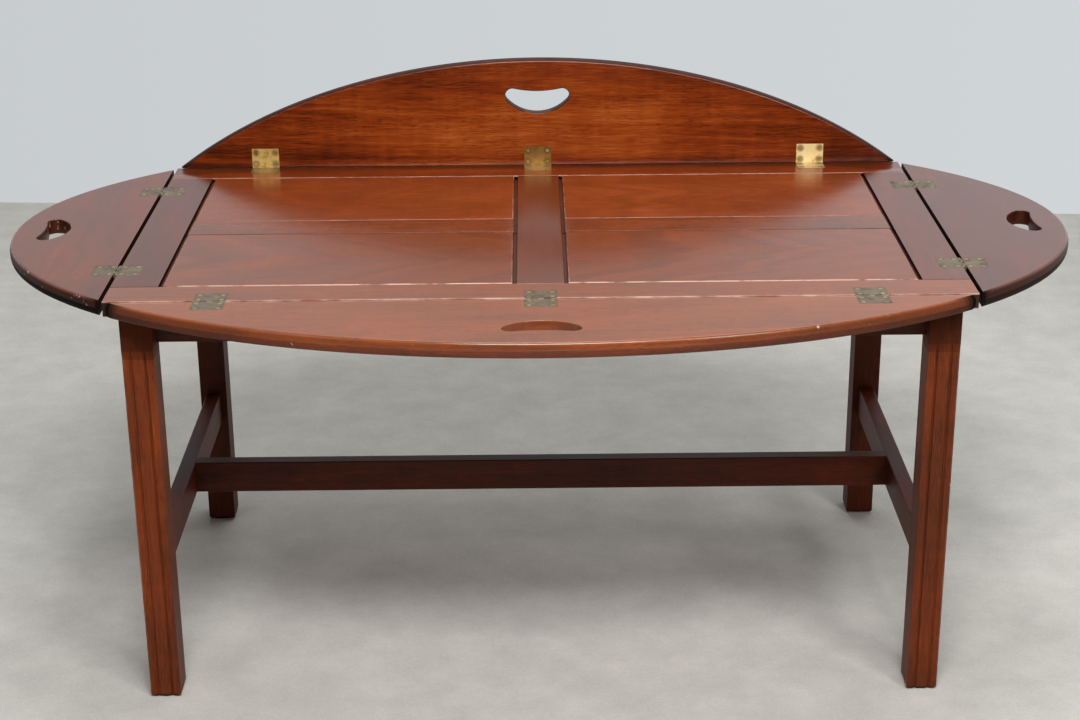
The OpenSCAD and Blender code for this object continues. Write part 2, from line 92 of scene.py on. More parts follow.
# An empty material with its output, what adds a node to it and its Principled shader
def newMaterial(name, **constants):
    material = bpy.data.materials.new(name)
    material.use_nodes = True
    material.node_tree.nodes.clear()
    add = partial(addNode, material.node_tree)
    shader = add("ShaderNodeBsdfPrincipled", constants)
    add("ShaderNodeOutputMaterial", {"Surface": shader})
    return material, add, shader


# Wood

# Sizes of the figure in millimetres, along the grain first where there are two
grainFigure = {
    "wander": (420, 60),
    "wanderReach": 16,
    "band": 8,
    "streak": (130, 6.5),
    "fibre": (24, 1.2),
    "mottle": (130, 50),
    "ripple": (11, 60),
    "pore": (10, 1.0),
    "crowd": (90, 22),
    "poreDepth": 0.06,
    # How much each tells in the tone beside the growth bands, whose share every board has for itself
    "weights": {"streak": 0.55, "fibre": 0.85, "mottle": 0.8, "ripple": 0.2},
    # Noise that starts to be a pore, or a place crowded with them, and noise that is one in full
    "poreEdge": (0.56, 0.66),
    "crowdEdge": (0.36, 0.62),
    "poreShade": 0.6,
    # Of the film from calm wood to mottled wood, and what a pore adds to it
    "roughness": (0.17, 0.24),
    "poreRoughness": 0.02,
    "fibreHeight": 0.35,
    # Heart, ground and light streaks of an old red mahogany under shellac
    "colours": [(0.0, "#2e0e04"), (0.28, "#5a2109"), (0.5, "#83340e"), (0.72, "#a04a17"), (1.0, "#bf6a2e")],
    "poreColour": "#2a0c04",
    # What years of daylight leave of it
    "fadedColour": "#b98258",
}


# The shared figure: growth bands round a heart that lies off the board, streaks, fibres and pores.
# Its vector runs along the grain first, then across the board, then through it.
def mahoganyGrain(size):
    tree = bpy.data.node_groups.new("mahoganyGrain", "ShaderNodeTree")
    add = partial(addNode, tree)
    face = tree.interface
    face.new_socket("Vector", in_out="INPUT", socket_type="NodeSocketVector")
    for name in ("Lean", "Bands", "Bold", "Tone", "Fade"):
        face.new_socket(name, in_out="INPUT", socket_type="NodeSocketFloat")
    face.new_socket("Color", in_out="OUTPUT", socket_type="NodeSocketColor")
    for name in ("Roughness", "Height"):
        face.new_socket(name, in_out="OUTPUT", socket_type="NodeSocketFloat")
    given = add("NodeGroupInput").outputs
    place = given["Vector"]

    # Noise of a real size: the vector is divided by the length of one feature along and across the grain
    def noise(feature, detail, roughness=0.5, distortion=0.0):
        along, across = size[feature]
        scale = (1 / (along * mm), 1 / (across * mm), 1 / (across * mm))
        scaled = add("ShaderNodeVectorMath", {0: place, 1: scale}, operation="MULTIPLY")
        return add("ShaderNodeTexNoise", {"Vector": scaled, "Scale": 1.0, "Detail": detail,
                                          "Roughness": roughness, "Distortion": distortion})

    # Rings seen in the board: distance from a heart that leans and wanders
    wander = noise("wander", detail=2.0)
    bent = add("ShaderNodeVectorMath", {0: wander.outputs["Color"], 1: (0.5, 0.5, 0.5)},
               operation="SUBTRACT")
    reach = 2 * size["wanderReach"] * mm
    bent = add("ShaderNodeVectorMath", {0: bent, 1: (reach, reach, reach), 2: place},
               operation="MULTIPLY_ADD")
    parts = add("ShaderNodeSeparateXYZ", {0: bent}).outputs
    leaning = add("ShaderNodeMath", {0: parts["X"], 1: given["Lean"], 2: parts["Z"]},
                  operation="MULTIPLY_ADD")
    across = add("ShaderNodeCombineXYZ", {"Y": parts["Y"], "Z": leaning})
    radius = add("ShaderNodeVectorMath", {0: across}, operation="LENGTH")
    turns = add("ShaderNodeMath", {0: radius.outputs["Value"], 1: size["band"] * mm}, operation="DIVIDE")
    bands = add("ShaderNodeTexNoise", {"W": turns, "Scale": 1.0, "Detail": 2.0, "Roughness": 0.5},
                noise_dimensions="1D")
    figures = {
        "streak": noise("streak", detail=3.0, roughness=0.62, distortion=0.4),
        "fibre": noise("fibre", detail=2.0, roughness=0.6),
        "mottle": noise("mottle", detail=2.0),
        "ripple": noise("ripple", detail=1.0),
    }

    # The ground tone is a weighted sum, centred on the board's own
    figure = 0.0
    weighed = [(bands, given["Bands"])]
    weighed += [(figures[name], share) for name, share in size["weights"].items()]
    for source, weight in weighed:
        centred = add("ShaderNodeMath", {0: source, 1: 0.5}, operation="SUBTRACT")
        figure = add("ShaderNodeMath", {0: centred, 1: weight, 2: figure}, operation="MULTIPLY_ADD")
    tone = add("ShaderNodeMath", {0: figure, 1: given["Bold"], 2: given["Tone"]}, operation="MULTIPLY_ADD")
    ground = add("ShaderNodeValToRGB", {"Fac": tone}, size["colours"])
    ground = add("ShaderNodeMix", {0: given["Fade"], 6: ground, 7: linearColour(size["fadedColour"])},
                 data_type="RGBA")

    # Pores: short dark dashes, crowded in some places
    dashes = add("ShaderNodeMapRange", {"Value": noise("pore", detail=1.0, roughness=0.4),
                                        "From Min": size["poreEdge"][0], "From Max": size["poreEdge"][1]},
                 interpolation_type="SMOOTHSTEP")
    crowd = add("ShaderNodeMapRange", {"Value": noise("crowd", detail=1.0),
                                       "From Min": size["crowdEdge"][0], "From Max": size["crowdEdge"][1]})
    pores = add("ShaderNodeMath", {0: dashes, 1: crowd}, operation="MULTIPLY")
    shade = add("ShaderNodeMath", {0: pores, 1: given["Bold"]}, operation="MULTIPLY")
    shade = add("ShaderNodeMath", {0: shade, 1: size["poreShade"]}, operation="MULTIPLY")
    colour = add("ShaderNodeMix", {0: shade, 6: ground.outputs[2], 7: linearColour(size["poreColour"])},
                 data_type="RGBA")

    rough = add("ShaderNodeMapRange", {"Value": figures["mottle"], "From Min": 0.3, "From Max": 0.7,
                                       "To Min": size["roughness"][0], "To Max": size["roughness"][1]})
    rough = add("ShaderNodeMath", {0: pores, 1: size["poreRoughness"], 2: rough}, operation="MULTIPLY_ADD")
    height = add("ShaderNodeMath", {0: figures["fibre"], 1: size["fibreHeight"]}, operation="MULTIPLY")
    height = add("ShaderNodeMath", {0: height, 1: pores}, operation="SUBTRACT")
    add("NodeGroupOutput", {"Color": colour.outputs[2], "Roughness": rough, "Height": height})
    return tree


grainTree = mahoganyGrain(grainFigure)

# How each kind of board was sawn and has aged: axes along the grain, across its face and through it,
# where its heart lies off the middle of the board (mm), how far the heart leans, how bold its bands
# and its whole figure are, its tone, and how far it has faded
boardCuts = {
    "rail": ("xyz", (90, -70), 0.02, 0.3, 0.45, 0.44, 0.18),
    "rail_rear": ("xyz", (90, -70), 0.02, 0.3, 0.45, 0.46, 0.03),
    "mid_rail": ("xyz", (-60, -80), 0.03, 0.4, 0.6, 0.38, 0.1),
    "stile": ("yxz", (60, -90), 0.02, 0.2, 0.3, 0.3, 0.02),
    "stile_centre": ("yxz", (60, -90), 0.02, 0.3, 0.2, 0.3, 0.08),
    "panel_front": ("xyz", (6, -46), 0.16, 1.3, 0.2, 0.4, 0.12),
    "panel_rear": ("xyz", (-20, -52), 0.12, 1.1, 0.28, 0.48, 0.07),
    "leaf_front": ("xyz", (70, -85), 0.05, 0.4, 0.45, 0.48, 0.21),
    "leaf_rear": ("xzy", (40, 95), 0.05, 0.6, 0.8, 0.57, 0.0),
    "leaf_left": ("yxz", (30, -90), 0.05, 0.3, 0.3, 0.34, 0.03),
    "leaf_right": ("yxz", (-30, -90), 0.05, 0.3, 0.3, 0.3, 0.03),
    # The aprons' dark tone is painted shade under the tray
    "apron_front": ("xzy", (20, 60), 0.03, 0.3, 0.5, 0.12, 0.0),
    "apron_rear": ("xzy", (20, 60), 0.03, 0.3, 0.5, 0.12, 0.0),
    "apron": ("yzx", (20, 60), 0.03, 0.3, 0.5, 0.12, 0.0),
    "stretcher_centre": ("xzy", (20, 60), 0.03, 0.3, 0.5, 0.19, 0.0),
    "stretcher": ("yzx", (20, 60), 0.03, 0.3, 0.5, 0.24, 0.0),
    # Below, the front right leg's darker tone is painted shade against its stronger lamp, and the rear
    # legs' much darker tone is painted shade under the tray
    "leg": ("zxy", (50, -60), 0.02, 0.3, 0.6, 0.4, 0.06),
    "leg_front_right": ("zxy", (50, -60), 0.02, 0.3, 0.6, 0.34, 0.06),
    "leg_rear": ("zxy", (50, -60), 0.02, 0.3, 0.5, 0.2, 0.02),
}
# The film on the boards, what age has done to it, and the colours of its painted shade and highlights
polish = {
    # The base's film has gone dull
    "ior": {"tray": 1.5, "base": 1.36},
    "mirror": {"tray": 0.5, "base": 0.3},
    "dullness": {"tray": 0.0, "base": 0.25},
    "bump": 0.4,
    "toneSpread": 0.02,
    # Depths under a board's top where daylight's fading ends and where it starts to be full, mm
    "fadeDepths": (12, 1),
    # The black of dirt and old polish in a joint, which also paints the shade in gaps, hollows and grooves,
    # on undersides and under the tray
    "dirtAndShadeColour": "#0e0603",
    "dirtAndShadeRoughness": 0.4,
    "dirtAndShadeMirror": 0.06,
    # Bare wood where an arris is rubbed through, pale pink so that it also paints the arris's highlight, in
    # dashes (mm), and the noise that starts and fills one
    "wornAndHighlightColour": "#d0a592",
    "dash": 26,
    "dashEdge": (0.35, 0.65),
    # Chips in the finish of a rim: their size (mm), how much the rim's mark adds to the noise, the sum that
    # starts and fills one, and its share
    "chipColour": "#dcc4b2",
    "chip": 9,
    "chipRim": 0.8,
    "chipEdge": (1.4, 1.43),
    "chipShare": 0.85,
}
# Lines along a board's edge: what they are, the axis and the end of the board, their share, and how far
# from the edge they start to fade and are gone (mm). Dirt and a painted shadow of the joint lie where the
# standing leaf meets the rail, and the joints along the front rail are rubbed through and carry a painted
# highlight. A panel's end lies in the rail by its tongue.
edgeLines = {
    "rail_rear": ("soil", "Y", 1, 0.85, 0.6, 1.2),
    "leaf_rear": ("soil", "Z", 0, 0.85, 0.6, 1.2),
    "rail_front": ("wear", "Y", 0, 0.85, 0.8, 2.0),
    "leaf_front": ("wear", "Y", 1, 0.85, 0.8, 2.0),
    "panel_front_left": ("wear", "Y", 0, 2.0, 9.8, 11.0),
    "panel_front_right": ("wear", "Y", 0, 2.0, 9.8, 11.0),
}
# The standing leaf is lighter round one place and darker towards the rim and the tips: that
# place from the middle of the joint and how far the dark lies from it, across and up (mm), at which
# shares of that it starts and is full, and the tone of both
leafToneFalloff = {
    "place": (0, 45),
    "reach": (420, 100),
    "shares": (0.25, 0.95),
    "tones": (0.72, 0.3),
}


# Tone of the standing leaf, by the distance from its lightest place
def falloffTone(add, source, bottom):
    x, z = (place * mm for place in leafToneFalloff["place"])
    wide, tall = (reach * mm for reach in leafToneFalloff["reach"])
    away = add("ShaderNodeVectorMath", {0: source, 1: (x, 0, bottom + z)}, operation="SUBTRACT")
    away = add("ShaderNodeVectorMath", {0: away, 1: (1 / wide, 0, 1 / tall)}, operation="MULTIPLY")
    away = add("ShaderNodeVectorMath", {0: away}, operation="LENGTH")
    start, full = leafToneFalloff["shares"]
    clear, dark = leafToneFalloff["tones"]
    return add("ShaderNodeMapRange", {"Value": away.outputs["Value"], "From Min": start, "From Max": full,
                                      "To Min": clear, "To Max": dark})


# One board's own cut through the shared figure, faded by daylight on top, and the base all round
def boardGrain(add, node, source, parts, part):
    kind = max((k for k in boardCuts if node.startswith(k)), key=len)
    axes, heart, lean, bands, bold, tone, fade = boardCuts[kind]
    low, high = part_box(node)
    middle = (low + high) / 2
    chance = random.Random(node)
    turned = add("ShaderNodeCombineXYZ", {i: parts[axis.upper()] for i, axis in enumerate(axes)})
    centre = [middle["xyz".index(axis)] for axis in axes]
    shift = (chance.uniform(1, 9), -centre[1] - heart[0] * mm, -centre[2] - heart[1] * mm)
    moved = add("ShaderNodeVectorMath", {0: turned, 1: shift}, operation="ADD")
    lean *= chance.choice((-1, 1))
    tone += chance.uniform(-polish["toneSpread"], polish["toneSpread"])
    if node == "leaf_rear":
        tone = falloffTone(add, source, low.z)
    deep, shallow = (high.z - depth * mm for depth in polish["fadeDepths"])
    faded = add("ShaderNodeMapRange", {"Value": parts["Z"], "From Min": deep, "From Max": shallow,
                                       "To Min": fade if part == "base" else 0.0, "To Max": fade})
    return add("ShaderNodeGroup", {"Vector": moved, "Lean": lean, "Bands": bands, "Bold": bold,
                                   "Tone": tone, "Fade": faded}, node_tree=grainTree)


# How far a board is worn, with a painted highlight, chipped, and dirty, with painted shade: the marks on
# its faces and the line along its edge
def boardMarks(add, node, source, parts):
    marks = {mark: add("ShaderNodeAttribute", attribute_name=mark).outputs["Fac"]
             for mark in ("wear", "rim", "soil")}
    if node in edgeLines:
        mark, axis, end, share, near, far = edgeLines[node]
        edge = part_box(node)[end]["XYZ".index(axis)]
        away = add("ShaderNodeMath", {0: parts[axis], 1: edge}, operation="SUBTRACT")
        away = add("ShaderNodeMath", {0: away}, operation="ABSOLUTE")
        line = add("ShaderNodeMapRange", {"Value": away, "From Min": near * mm, "From Max": far * mm,
                                          "To Min": share, "To Max": 0.0})
        marks[mark] = add("ShaderNodeMath", {0: marks[mark], 1: line}, operation="MAXIMUM")
    dashes = add("ShaderNodeTexNoise", {"Vector": source, "Scale": 1 / (polish["dash"] * mm),
                                        "Detail": 3.0})
    dashes = add("ShaderNodeMapRange", {"Value": dashes, "From Min": polish["dashEdge"][0],
                                        "From Max": polish["dashEdge"][1]})
    wear = add("ShaderNodeMath", {0: marks["wear"], 1: dashes}, operation="MULTIPLY")
    chips = add("ShaderNodeTexNoise", {"Vector": source, "Scale": 1 / (polish["chip"] * mm), "Detail": 2.0})
    chips = add("ShaderNodeMath", {0: marks["rim"], 1: polish["chipRim"], 2: chips},
                operation="MULTIPLY_ADD")
    chips = add("ShaderNodeMapRange", {"Value": chips, "From Min": polish["chipEdge"][0],
                                       "From Max": polish["chipEdge"][1], "To Max": polish["chipShare"]})
    return wear, chips, marks["soil"]


# French-polished Honduras mahogany: a red-brown ground with dark pores under a hard clear film, which
# mirrors bright things softly at a low angle
def polishedMahogany(node):
    part = "base" if bodyOfNode[node] == bodyOfNode["apron_front"] else "tray"
    material, add, shader = newMaterial("polishedMahogany_" + node, IOR=polish["ior"][part])
    source = add("ShaderNodeTexCoord").outputs["Object"]
    parts = add("ShaderNodeSeparateXYZ", {0: source}).outputs
    grain = boardGrain(add, node, source, parts, part)
    wear, chips, soil = boardMarks(add, node, source, parts)
    colour = grain.outputs["Color"]
    for share, layer in ((wear, "wornAndHighlightColour"), (chips, "chipColour"), (soil, "dirtAndShadeColour")):
        colour = add("ShaderNodeMix", {0: share, 6: colour, 7: linearColour(polish[layer])},
                     data_type="RGBA").outputs[2]
    rough = add("ShaderNodeMath", {0: soil, 1: polish["dirtAndShadeRoughness"], 2: grain.outputs["Roughness"]},
                operation="MULTIPLY_ADD")
    rough = add("ShaderNodeMath", {0: rough, 1: polish["dullness"][part]}, operation="ADD")
    mirror = polish["mirror"][part]
    gloss = add("ShaderNodeMapRange", {"Value": soil, "To Min": mirror, "To Max": polish["dirtAndShadeMirror"]})
    bold = grain.inputs["Bold"].default_value
    bump = add("ShaderNodeBump", {"Strength": polish["bump"] * bold ** 3,
                                  "Distance": grainFigure["poreDepth"] * mm,
                                  "Height": grain.outputs["Height"]})
    shader.inputs["Specular IOR Level"].default_value = mirror
    fillInputs(shader, {"Base Color": colour, "Roughness": rough, "Specular IOR Level": gloss,
                        "Normal": bump})
    return material


# Planed beech, bare: pale, dull and plain, for what the table hides
def bareBeech():
    # Its rays show as flecks, across and along the grain, mm
    fleckWidth = 1.111
    fleckLength = 16.667
    material, add, shader = newMaterial("bareBeech", IOR=1.45, Roughness=0.62)
    source = add("ShaderNodeTexCoord").outputs["Object"]
    scale = (1 / (fleckWidth * mm), 1 / (fleckWidth * mm), 1 / (fleckLength * mm))
    scaled = add("ShaderNodeVectorMath", {0: source, 1: scale}, operation="MULTIPLY")
    flecks = add("ShaderNodeTexNoise", {"Vector": scaled, "Scale": 1.0, "Detail": 3.0})
    colour = add("ShaderNodeValToRGB", {"Fac": flecks},
                 [(0.3, "#a9784a"), (0.55, "#c39763"), (0.8, "#d3ad7c")])
    fillInputs(shader, {"Base Color": colour})
    return material


# Metals

# Head centres on a hinge plate from the middle of its pin line, and the size of a head
hingeScrew = {
    "Head Radius": 2.35,
    "Shank Radius": 1.15,
    "Head Height": 1.2,
    "Length": 10.0,
    "Slot Width": 0.6,
    "Slot Depth": 0.5,
    "side": 11.5,
    "near": 6.3,
    "far": 20.0,
}
# Sizes in millimetres
brassAge = {
    "patch": 14,
    "speck": 1.6,
    "speckShare": 0.35,
    # Where the tarnish's noise is dark, dull and clean, and where its roughness starts and ends to fall
    "stops": (0.46, 0.6, 0.82),
    "roughStops": (0.4, 0.9),
    "roughSpread": 0.12,
    # File marks along and across the plate
    "fileMark": (11.111, 0.6667),
    "fileDepth": 0.02,
    "fileBump": 0.25,
    # The brown stain round each head, how far it reaches from the head's middle and how strong it starts
    "stainColour": "#5a4022",
    "stainReach": 5.5,
    "stainShare": 1.1,
}
# Clean, dull and dark colour and the roughness of each brass
brasses = {
    "dullBrass": ("#8e7e69", "#766857", "#4f4437", 0.42),
    # The next five are lighter brasses for the rear plates, which paint the lamps' highlights on them,
    # brightest at the right
    "faintHighlightBrass": ("#d0a96a", "#b99152", "#7c6036", 0.42),
    "highlightBrass": ("#f2da96", "#e4c880", "#a88c52", 0.66),
    "strongHighlightBrass": ("#fff2c8", "#ffebba", "#e2bc78", 0.74),
    "litBrass": ("#b3a183", "#a19178", "#75664c", 0.42),
    "brightLitBrass": ("#e2d2b4", "#d2c2a4", "#a08c68", 0.42),
    "dullTurnedBrass": ("#c0b190", "#a39472", "#76623e", 0.4),
    "turnedBrass": ("#dcbf84", "#b0935e", "#6d5631", 0.5),
}


# How strongly a plate is stained at a point, from its place on the plate
def screwStain(add, patches):
    place = add("ShaderNodeAttribute", attribute_name="plate").outputs["Vector"]
    middle = (hingeScrew["near"] + hingeScrew["far"]) / 2
    place = add("ShaderNodeVectorMath", {0: place, 1: (0, middle * mm, 0)}, operation="SUBTRACT")
    place = add("ShaderNodeVectorMath", {0: place}, operation="ABSOLUTE")
    head = (hingeScrew["side"] * mm, (hingeScrew["far"] - middle) * mm, 0)
    away = add("ShaderNodeVectorMath", {0: place, 1: head}, operation="DISTANCE")
    stain = add("ShaderNodeMapRange", {"Value": away.outputs["Value"],
                                       "From Min": hingeScrew["Head Radius"] * mm,
                                       "From Max": brassAge["stainReach"] * mm,
                                       "To Min": brassAge["stainShare"], "To Max": 0.0})
    return add("ShaderNodeMath", {0: stain, 1: patches}, operation="MULTIPLY", use_clamp=True)


# Sand-cast brass, filed flat, gone dull in the air: metallic, with fine file marks along the plate,
# brown-green patches of tarnish and a stain round each screw
def agedBrass(name):
    clean, dull, dark, roughness = brasses[name]
    material, add, shader = newMaterial(name, Metallic=1.0)
    source = add("ShaderNodeTexCoord").outputs["Object"]
    patches = add("ShaderNodeTexNoise", {"Vector": source, "Scale": 1 / (brassAge["patch"] * mm),
                                         "Detail": 4.0, "Roughness": 0.65})
    specks = add("ShaderNodeTexNoise", {"Vector": source, "Scale": 1 / (brassAge["speck"] * mm),
                                        "Detail": 2.0})
    mixed = add("ShaderNodeMath", {0: specks, 1: brassAge["speckShare"], 2: patches},
                operation="MULTIPLY_ADD")
    colour = add("ShaderNodeValToRGB", {"Fac": mixed}, list(zip(brassAge["stops"], (dark, dull, clean))))
    colour = add("ShaderNodeMix", {0: screwStain(add, patches), 6: colour,
                                   7: linearColour(brassAge["stainColour"])}, data_type="RGBA")
    start, end = brassAge["roughStops"]
    rough = add("ShaderNodeMapRange", {"Value": mixed, "From Min": start, "From Max": end,
                                       "To Max": roughness, "To Min": roughness + brassAge["roughSpread"]})
    along, across = (1 / (size * mm) for size in brassAge["fileMark"])
    marks = add("ShaderNodeVectorMath", {0: source, 1: (along, across, across)}, operation="MULTIPLY")
    marks = add("ShaderNodeTexNoise", {"Vector": marks, "Scale": 1.0, "Detail": 2.0})
    bump = add("ShaderNodeBump", {"Strength": brassAge["fileBump"], "Distance": brassAge["fileDepth"] * mm,
                                  "Height": marks})
    fillInputs(shader, {"Base Color": colour.outputs[2], "Roughness": rough, "Normal": bump})
    return material


# Drawn or rolled steel, oiled: grey with faint marks of such a size (mm)
def oiledSteel(name, light, dark, roughness, mark=3):
    material, add, shader = newMaterial(name, Metallic=1.0)
    source = add("ShaderNodeTexCoord").outputs["Object"]
    marks = add("ShaderNodeTexNoise", {"Vector": source, "Scale": 1 / (mark * mm), "Detail": 3.0})
    colour = add("ShaderNodeValToRGB", {"Fac": marks}, [(0.35, dark), (0.65, light)])
    rough = add("ShaderNodeMapRange", {"Value": marks, "From Min": 0.3, "From Max": 0.7,
                                       "To Min": roughness + 0.1, "To Max": roughness})
    fillInputs(shader, {"Base Color": colour, "Roughness": rough})
    return material


brass = {name: agedBrass(name) for name in brasses}
steel = oiledSteel("oiledSteel", "#a9a9a6", "#6b6a67", 0.35)
springSteel = oiledSteel("bluedSpringSteel", "#5a5f68", "#35383f", 0.3)
beech = bareBeech()
print("materials ready")


# Shapes

# Smooth faces, with an edge where they turn by more than the angle in degrees
def smoothFaces(mesh, sharpAngle):
    mesh.shade_smooth()
    mesh.set_sharp_from_angle(angle=math.radians(sharpAngle))


def newObject(name, data):
    made = bpy.data.objects.new(name, data)
    bpy.context.scene.collection.objects.link(made)
    return made


# A new object with one material, its faces smooth up to a sharp angle
def newPiece(name, mesh, material, sharpAngle=35):
    smoothFaces(mesh, sharpAngle)
    mesh.materials.clear()
    mesh.materials.append(material)
    return newObject(name, mesh)


# Turns the live modifiers into the piece's own plain mesh
def settle(piece):
    bpy.context.view_layer.update()
    evaluated = piece.evaluated_get(bpy.context.evaluated_depsgraph_get())
    mesh = bpy.data.meshes.new_from_object(evaluated)
    piece.modifiers.clear()
    piece.data = mesh
    return piece


# Keeps flat faces flat beside their eased edges
def evenShading(piece):
    piece.modifiers.new("evenShading", "WEIGHTED_NORMAL").keep_sharp = True
    return settle(piece)


# Marks each face of a piece for the wood's shader: how much dirt, old polish and painted shade lie on it,
# or how far it is rubbed through, with a painted highlight, or chipped
def markFaces(mesh, mark, share):
    marks = mesh.attributes.new(mark, "FLOAT", "FACE").data
    for face in mesh.polygons:
        marks[face.index].value = min(1.0, max(0.0, share(face)))


# Gives a piece its body and hides the nodes that it stands for; the slot is not used
def finishPiece(piece, slot, *nodes):
    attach(piece, bodyOfNode[nodes[0]])
    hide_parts(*nodes)
    return piece


# A node's own solid with its triangles' points merged
def weldedNode(node):
    shape = bmesh.new()
    shape.from_mesh(frame["nodes"][node].data)
    bmesh.ops.remove_doubles(shape, verts=shape.verts, dist=weldDistance * mm)
    return shape


def plainMesh(name, shape):
    mesh = bpy.data.meshes.new(name)
    shape.to_mesh(mesh)
    shape.free()
    return mesh


# A copy of a node's solid whose outer edges, past a length (mm) and an angle, are eased by a small round,
# apart from those that lie past a Y
def easedCopy(node, material, width, minLength, segments=3, minAngle=50, crispPast=None):
    shape = weldedNode(node)
    bmesh.ops.dissolve_limit(shape, angle_limit=math.radians(0.5), verts=shape.verts, edges=shape.edges)
    outer = [e for e in shape.edges
             if e.is_manifold and e.calc_face_angle_signed() > math.radians(minAngle)
             and e.calc_length() > minLength * mm
             and (crispPast is None or min(v.co.y for v in e.verts) < crispPast)]
    bmesh.ops.bevel(shape, geom=outer, offset=width * mm, segments=segments, profile=0.5, affect="EDGES",
                    clamp_overlap=True)
    return evenShading(newPiece(node + "_eased", plainMesh(node + "_eased", shape), material))


# Boards of the tray and the base
easedBoards = {
    # Width of the ease, the shortest edge that gets it (mm), and how far its arrises are rubbed, which also
    # paints a highlight on them
    "rail": (1.1, 60, 0.45),
    "stile": (0.6, 30, 0.0),
    "mid_rail": (0.3, 30, 0.0),
    "panel": (1.5, 60, 0.3),
    "apron": (0.8, 60, 0.0),
    "stretcher": (1.2, 60, 0.0),
}
# Depths and distances in millimetres
jointDirtAndShade = {
    # Dirt and painted shade in the tray's joints start at the first depth and are full at the second
    "depths": (0.3, 1.1),
    # and by so much deeper on the walls that face the front, where the lamps light them
    "frontWallDepth": 1.3,
    "wall": 0.92,
    # Less lies on the floor of an open groove
    "floor": 0.6,
    # The arrises: how far they reach down, and how steep and how flat their faces are at most
    "arrisDepth": 2,
    "arrisLean": (0.1, 0.98),
}
# The finish on the rear rail's edge closes the joint under the standing leaf to a hair, and how near to
# the edge a point gets it, mm
rearFilm = 0.195
filmReach = 0.05


# Dirt and painted shade on a face of the tray by its depth
def dirtAndShadeInJoint(face, bottom, top):
    depth = (top - face.center.z) / mm
    if face.center.z < bottom + 1 * mm:
        return 0.0
    if face.normal.y < -0.5:
        depth -= jointDirtAndShade["frontWallDepth"]
    most = jointDirtAndShade["floor"] if face.normal.z > 0.9 else jointDirtAndShade["wall"]
    start, full = jointDirtAndShade["depths"]
    return most * min(1.0, (depth - start) / (full - start))


def isArris(face, top):
    steep, flat = jointDirtAndShade["arrisLean"]
    return steep < face.normal.z < flat and face.center.z > top - jointDirtAndShade["arrisDepth"] * mm


def boardPiece(node, kind):
    width, minLength, rubbedAndHighlit = easedBoards[kind]
    low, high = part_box(node)
    crispPast = high.y - 1 * mm if node == "rail_rear" else None
    board = easedCopy(node, polishedMahogany(node), width, minLength, crispPast=crispPast)
    if bodyOfNode[node] == bodyOfNode["rail_rear"]:
        # Dirt and painted shade in the joints, and rubbed arrises that also carry a painted highlight
        markFaces(board.data, "soil", lambda face: dirtAndShadeInJoint(face, low.z, high.z))
        markFaces(board.data, "wear", lambda face: rubbedAndHighlit if isArris(face, high.z) else 0.0)
    if node == "rail_rear":
        for vertex in board.data.vertices:
            if vertex.co.y > high.y - filmReach * mm:
                vertex.co.y += rearFilm * mm
    return finishPiece(board, "mahogany", node)


for node in sorted(bodyOfNode):
    for kind in easedBoards:
        if node.startswith(kind):
            boardPiece(node, kind)
print("boards eased")

# Leaves
leafShape = {
    "rimRound": 4.2,
    # 2 for an elliptical nose, more for a squarer one
    "rimSquare": 2.4,
    "rimSteps": 160,
    "noseSteps": 30,
    "edgeEase": 0.02,
    # The finish on a long leaf's straight edge closes the joint to a hair when the leaf stands
    "edgeFilm": 0.195,
    # An end leaf's straight edge has worn back by so much
    "edgeWear": 0.5,
    "holeLength": 76.0,
    "holeWidth": 30.0,
    "holeEndRadius": 8.5,
    "holeDip": 3.2,
    "holeEase": 1.2,
    "holeArcSteps": 20,
    "sideHoleRim": 35.0,
    "endHoleRim": 30.0,
    # How much dirt and painted shade lie on each leaf's rim, and how much more painted shade on the rim's
    # lower half
    "rimDirtAndShade": {"front": 0.7, "rear": 0.75, "left": 0.75, "right": 0.65},
    "rimUnderShade": 0.25,
    # The rim's dirt and painted shade start below its upper arris, where the normal leans out to the first
    # share, and are full at the second
    "rimDirtAndShadeFrom": {"front": (0.75, 0.4), "rear": (0.95, 0.7), "left": (0.75, 0.4), "right": (0.75, 0.4)},
    # The front rim gets only the first share of its darkening in its middle, and the tips add the second
    "frontRimSpread": (0.05, 1.2),
    # The leaf's two tips are black to the very arris over such a depth
    "tipBlackness": 1.0,
    "tipDepth": 16.0,
    # Dirt and painted shade on the walls of each leaf's finger hole
    "holeDirtAndShade": {"front": 0.15, "rear": 0.85, "left": 0.6, "right": 0.6},
    # How far each leaf's rim is chipped
    "rimChips": {"front": 0.86, "rear": 0.84, "left": 1.0, "right": 0.87},
    "recessPlay": 0.15,
    "plateCornerRadius": 1.0,
}
trayLow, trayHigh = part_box("rail_rear")
traySide = trayHigh.y
trayEnd = trayHigh.x
boardThick = trayHigh.z - trayLow.z
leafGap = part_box("leaf_right")[0].x - trayEnd
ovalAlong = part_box("leaf_right")[1].x
ovalAcross = -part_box("leaf_front")[0].y
pinZ = (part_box("hinge_pins")[0].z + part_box("hinge_pins")[1].z) / 2
plateThick = trayHigh.z - pinZ
# Each side's turn from the rear, about the upright axis
sideTurns = {"front": math.pi, "rear": 0, "left": quarterTurn, "right": -quarterTurn}


# Turns the X axis into a side's pin line, with Y pointing away from the tray and Z = 0 at the pin
def sideMatrix(side):
    reach = (traySide if side in ("front", "rear") else trayEnd) + leafGap / 2
    fold = Matrix.Rotation(quarterTurn if side == "rear" else 0, 4, "X")
    return Matrix.Rotation(sideTurns[side], 4, "Z") @ Matrix.Translation((0, reach, pinZ)) @ fold


# From the frame to a plate's own axes, with X along its pin line and Y across it
def plateMatrix(side, onTray):
    unfold = Matrix.Rotation(quarterTurn if side == "rear" and onTray else 0, 4, "X")
    return unfold @ sideMatrix(side).inverted()


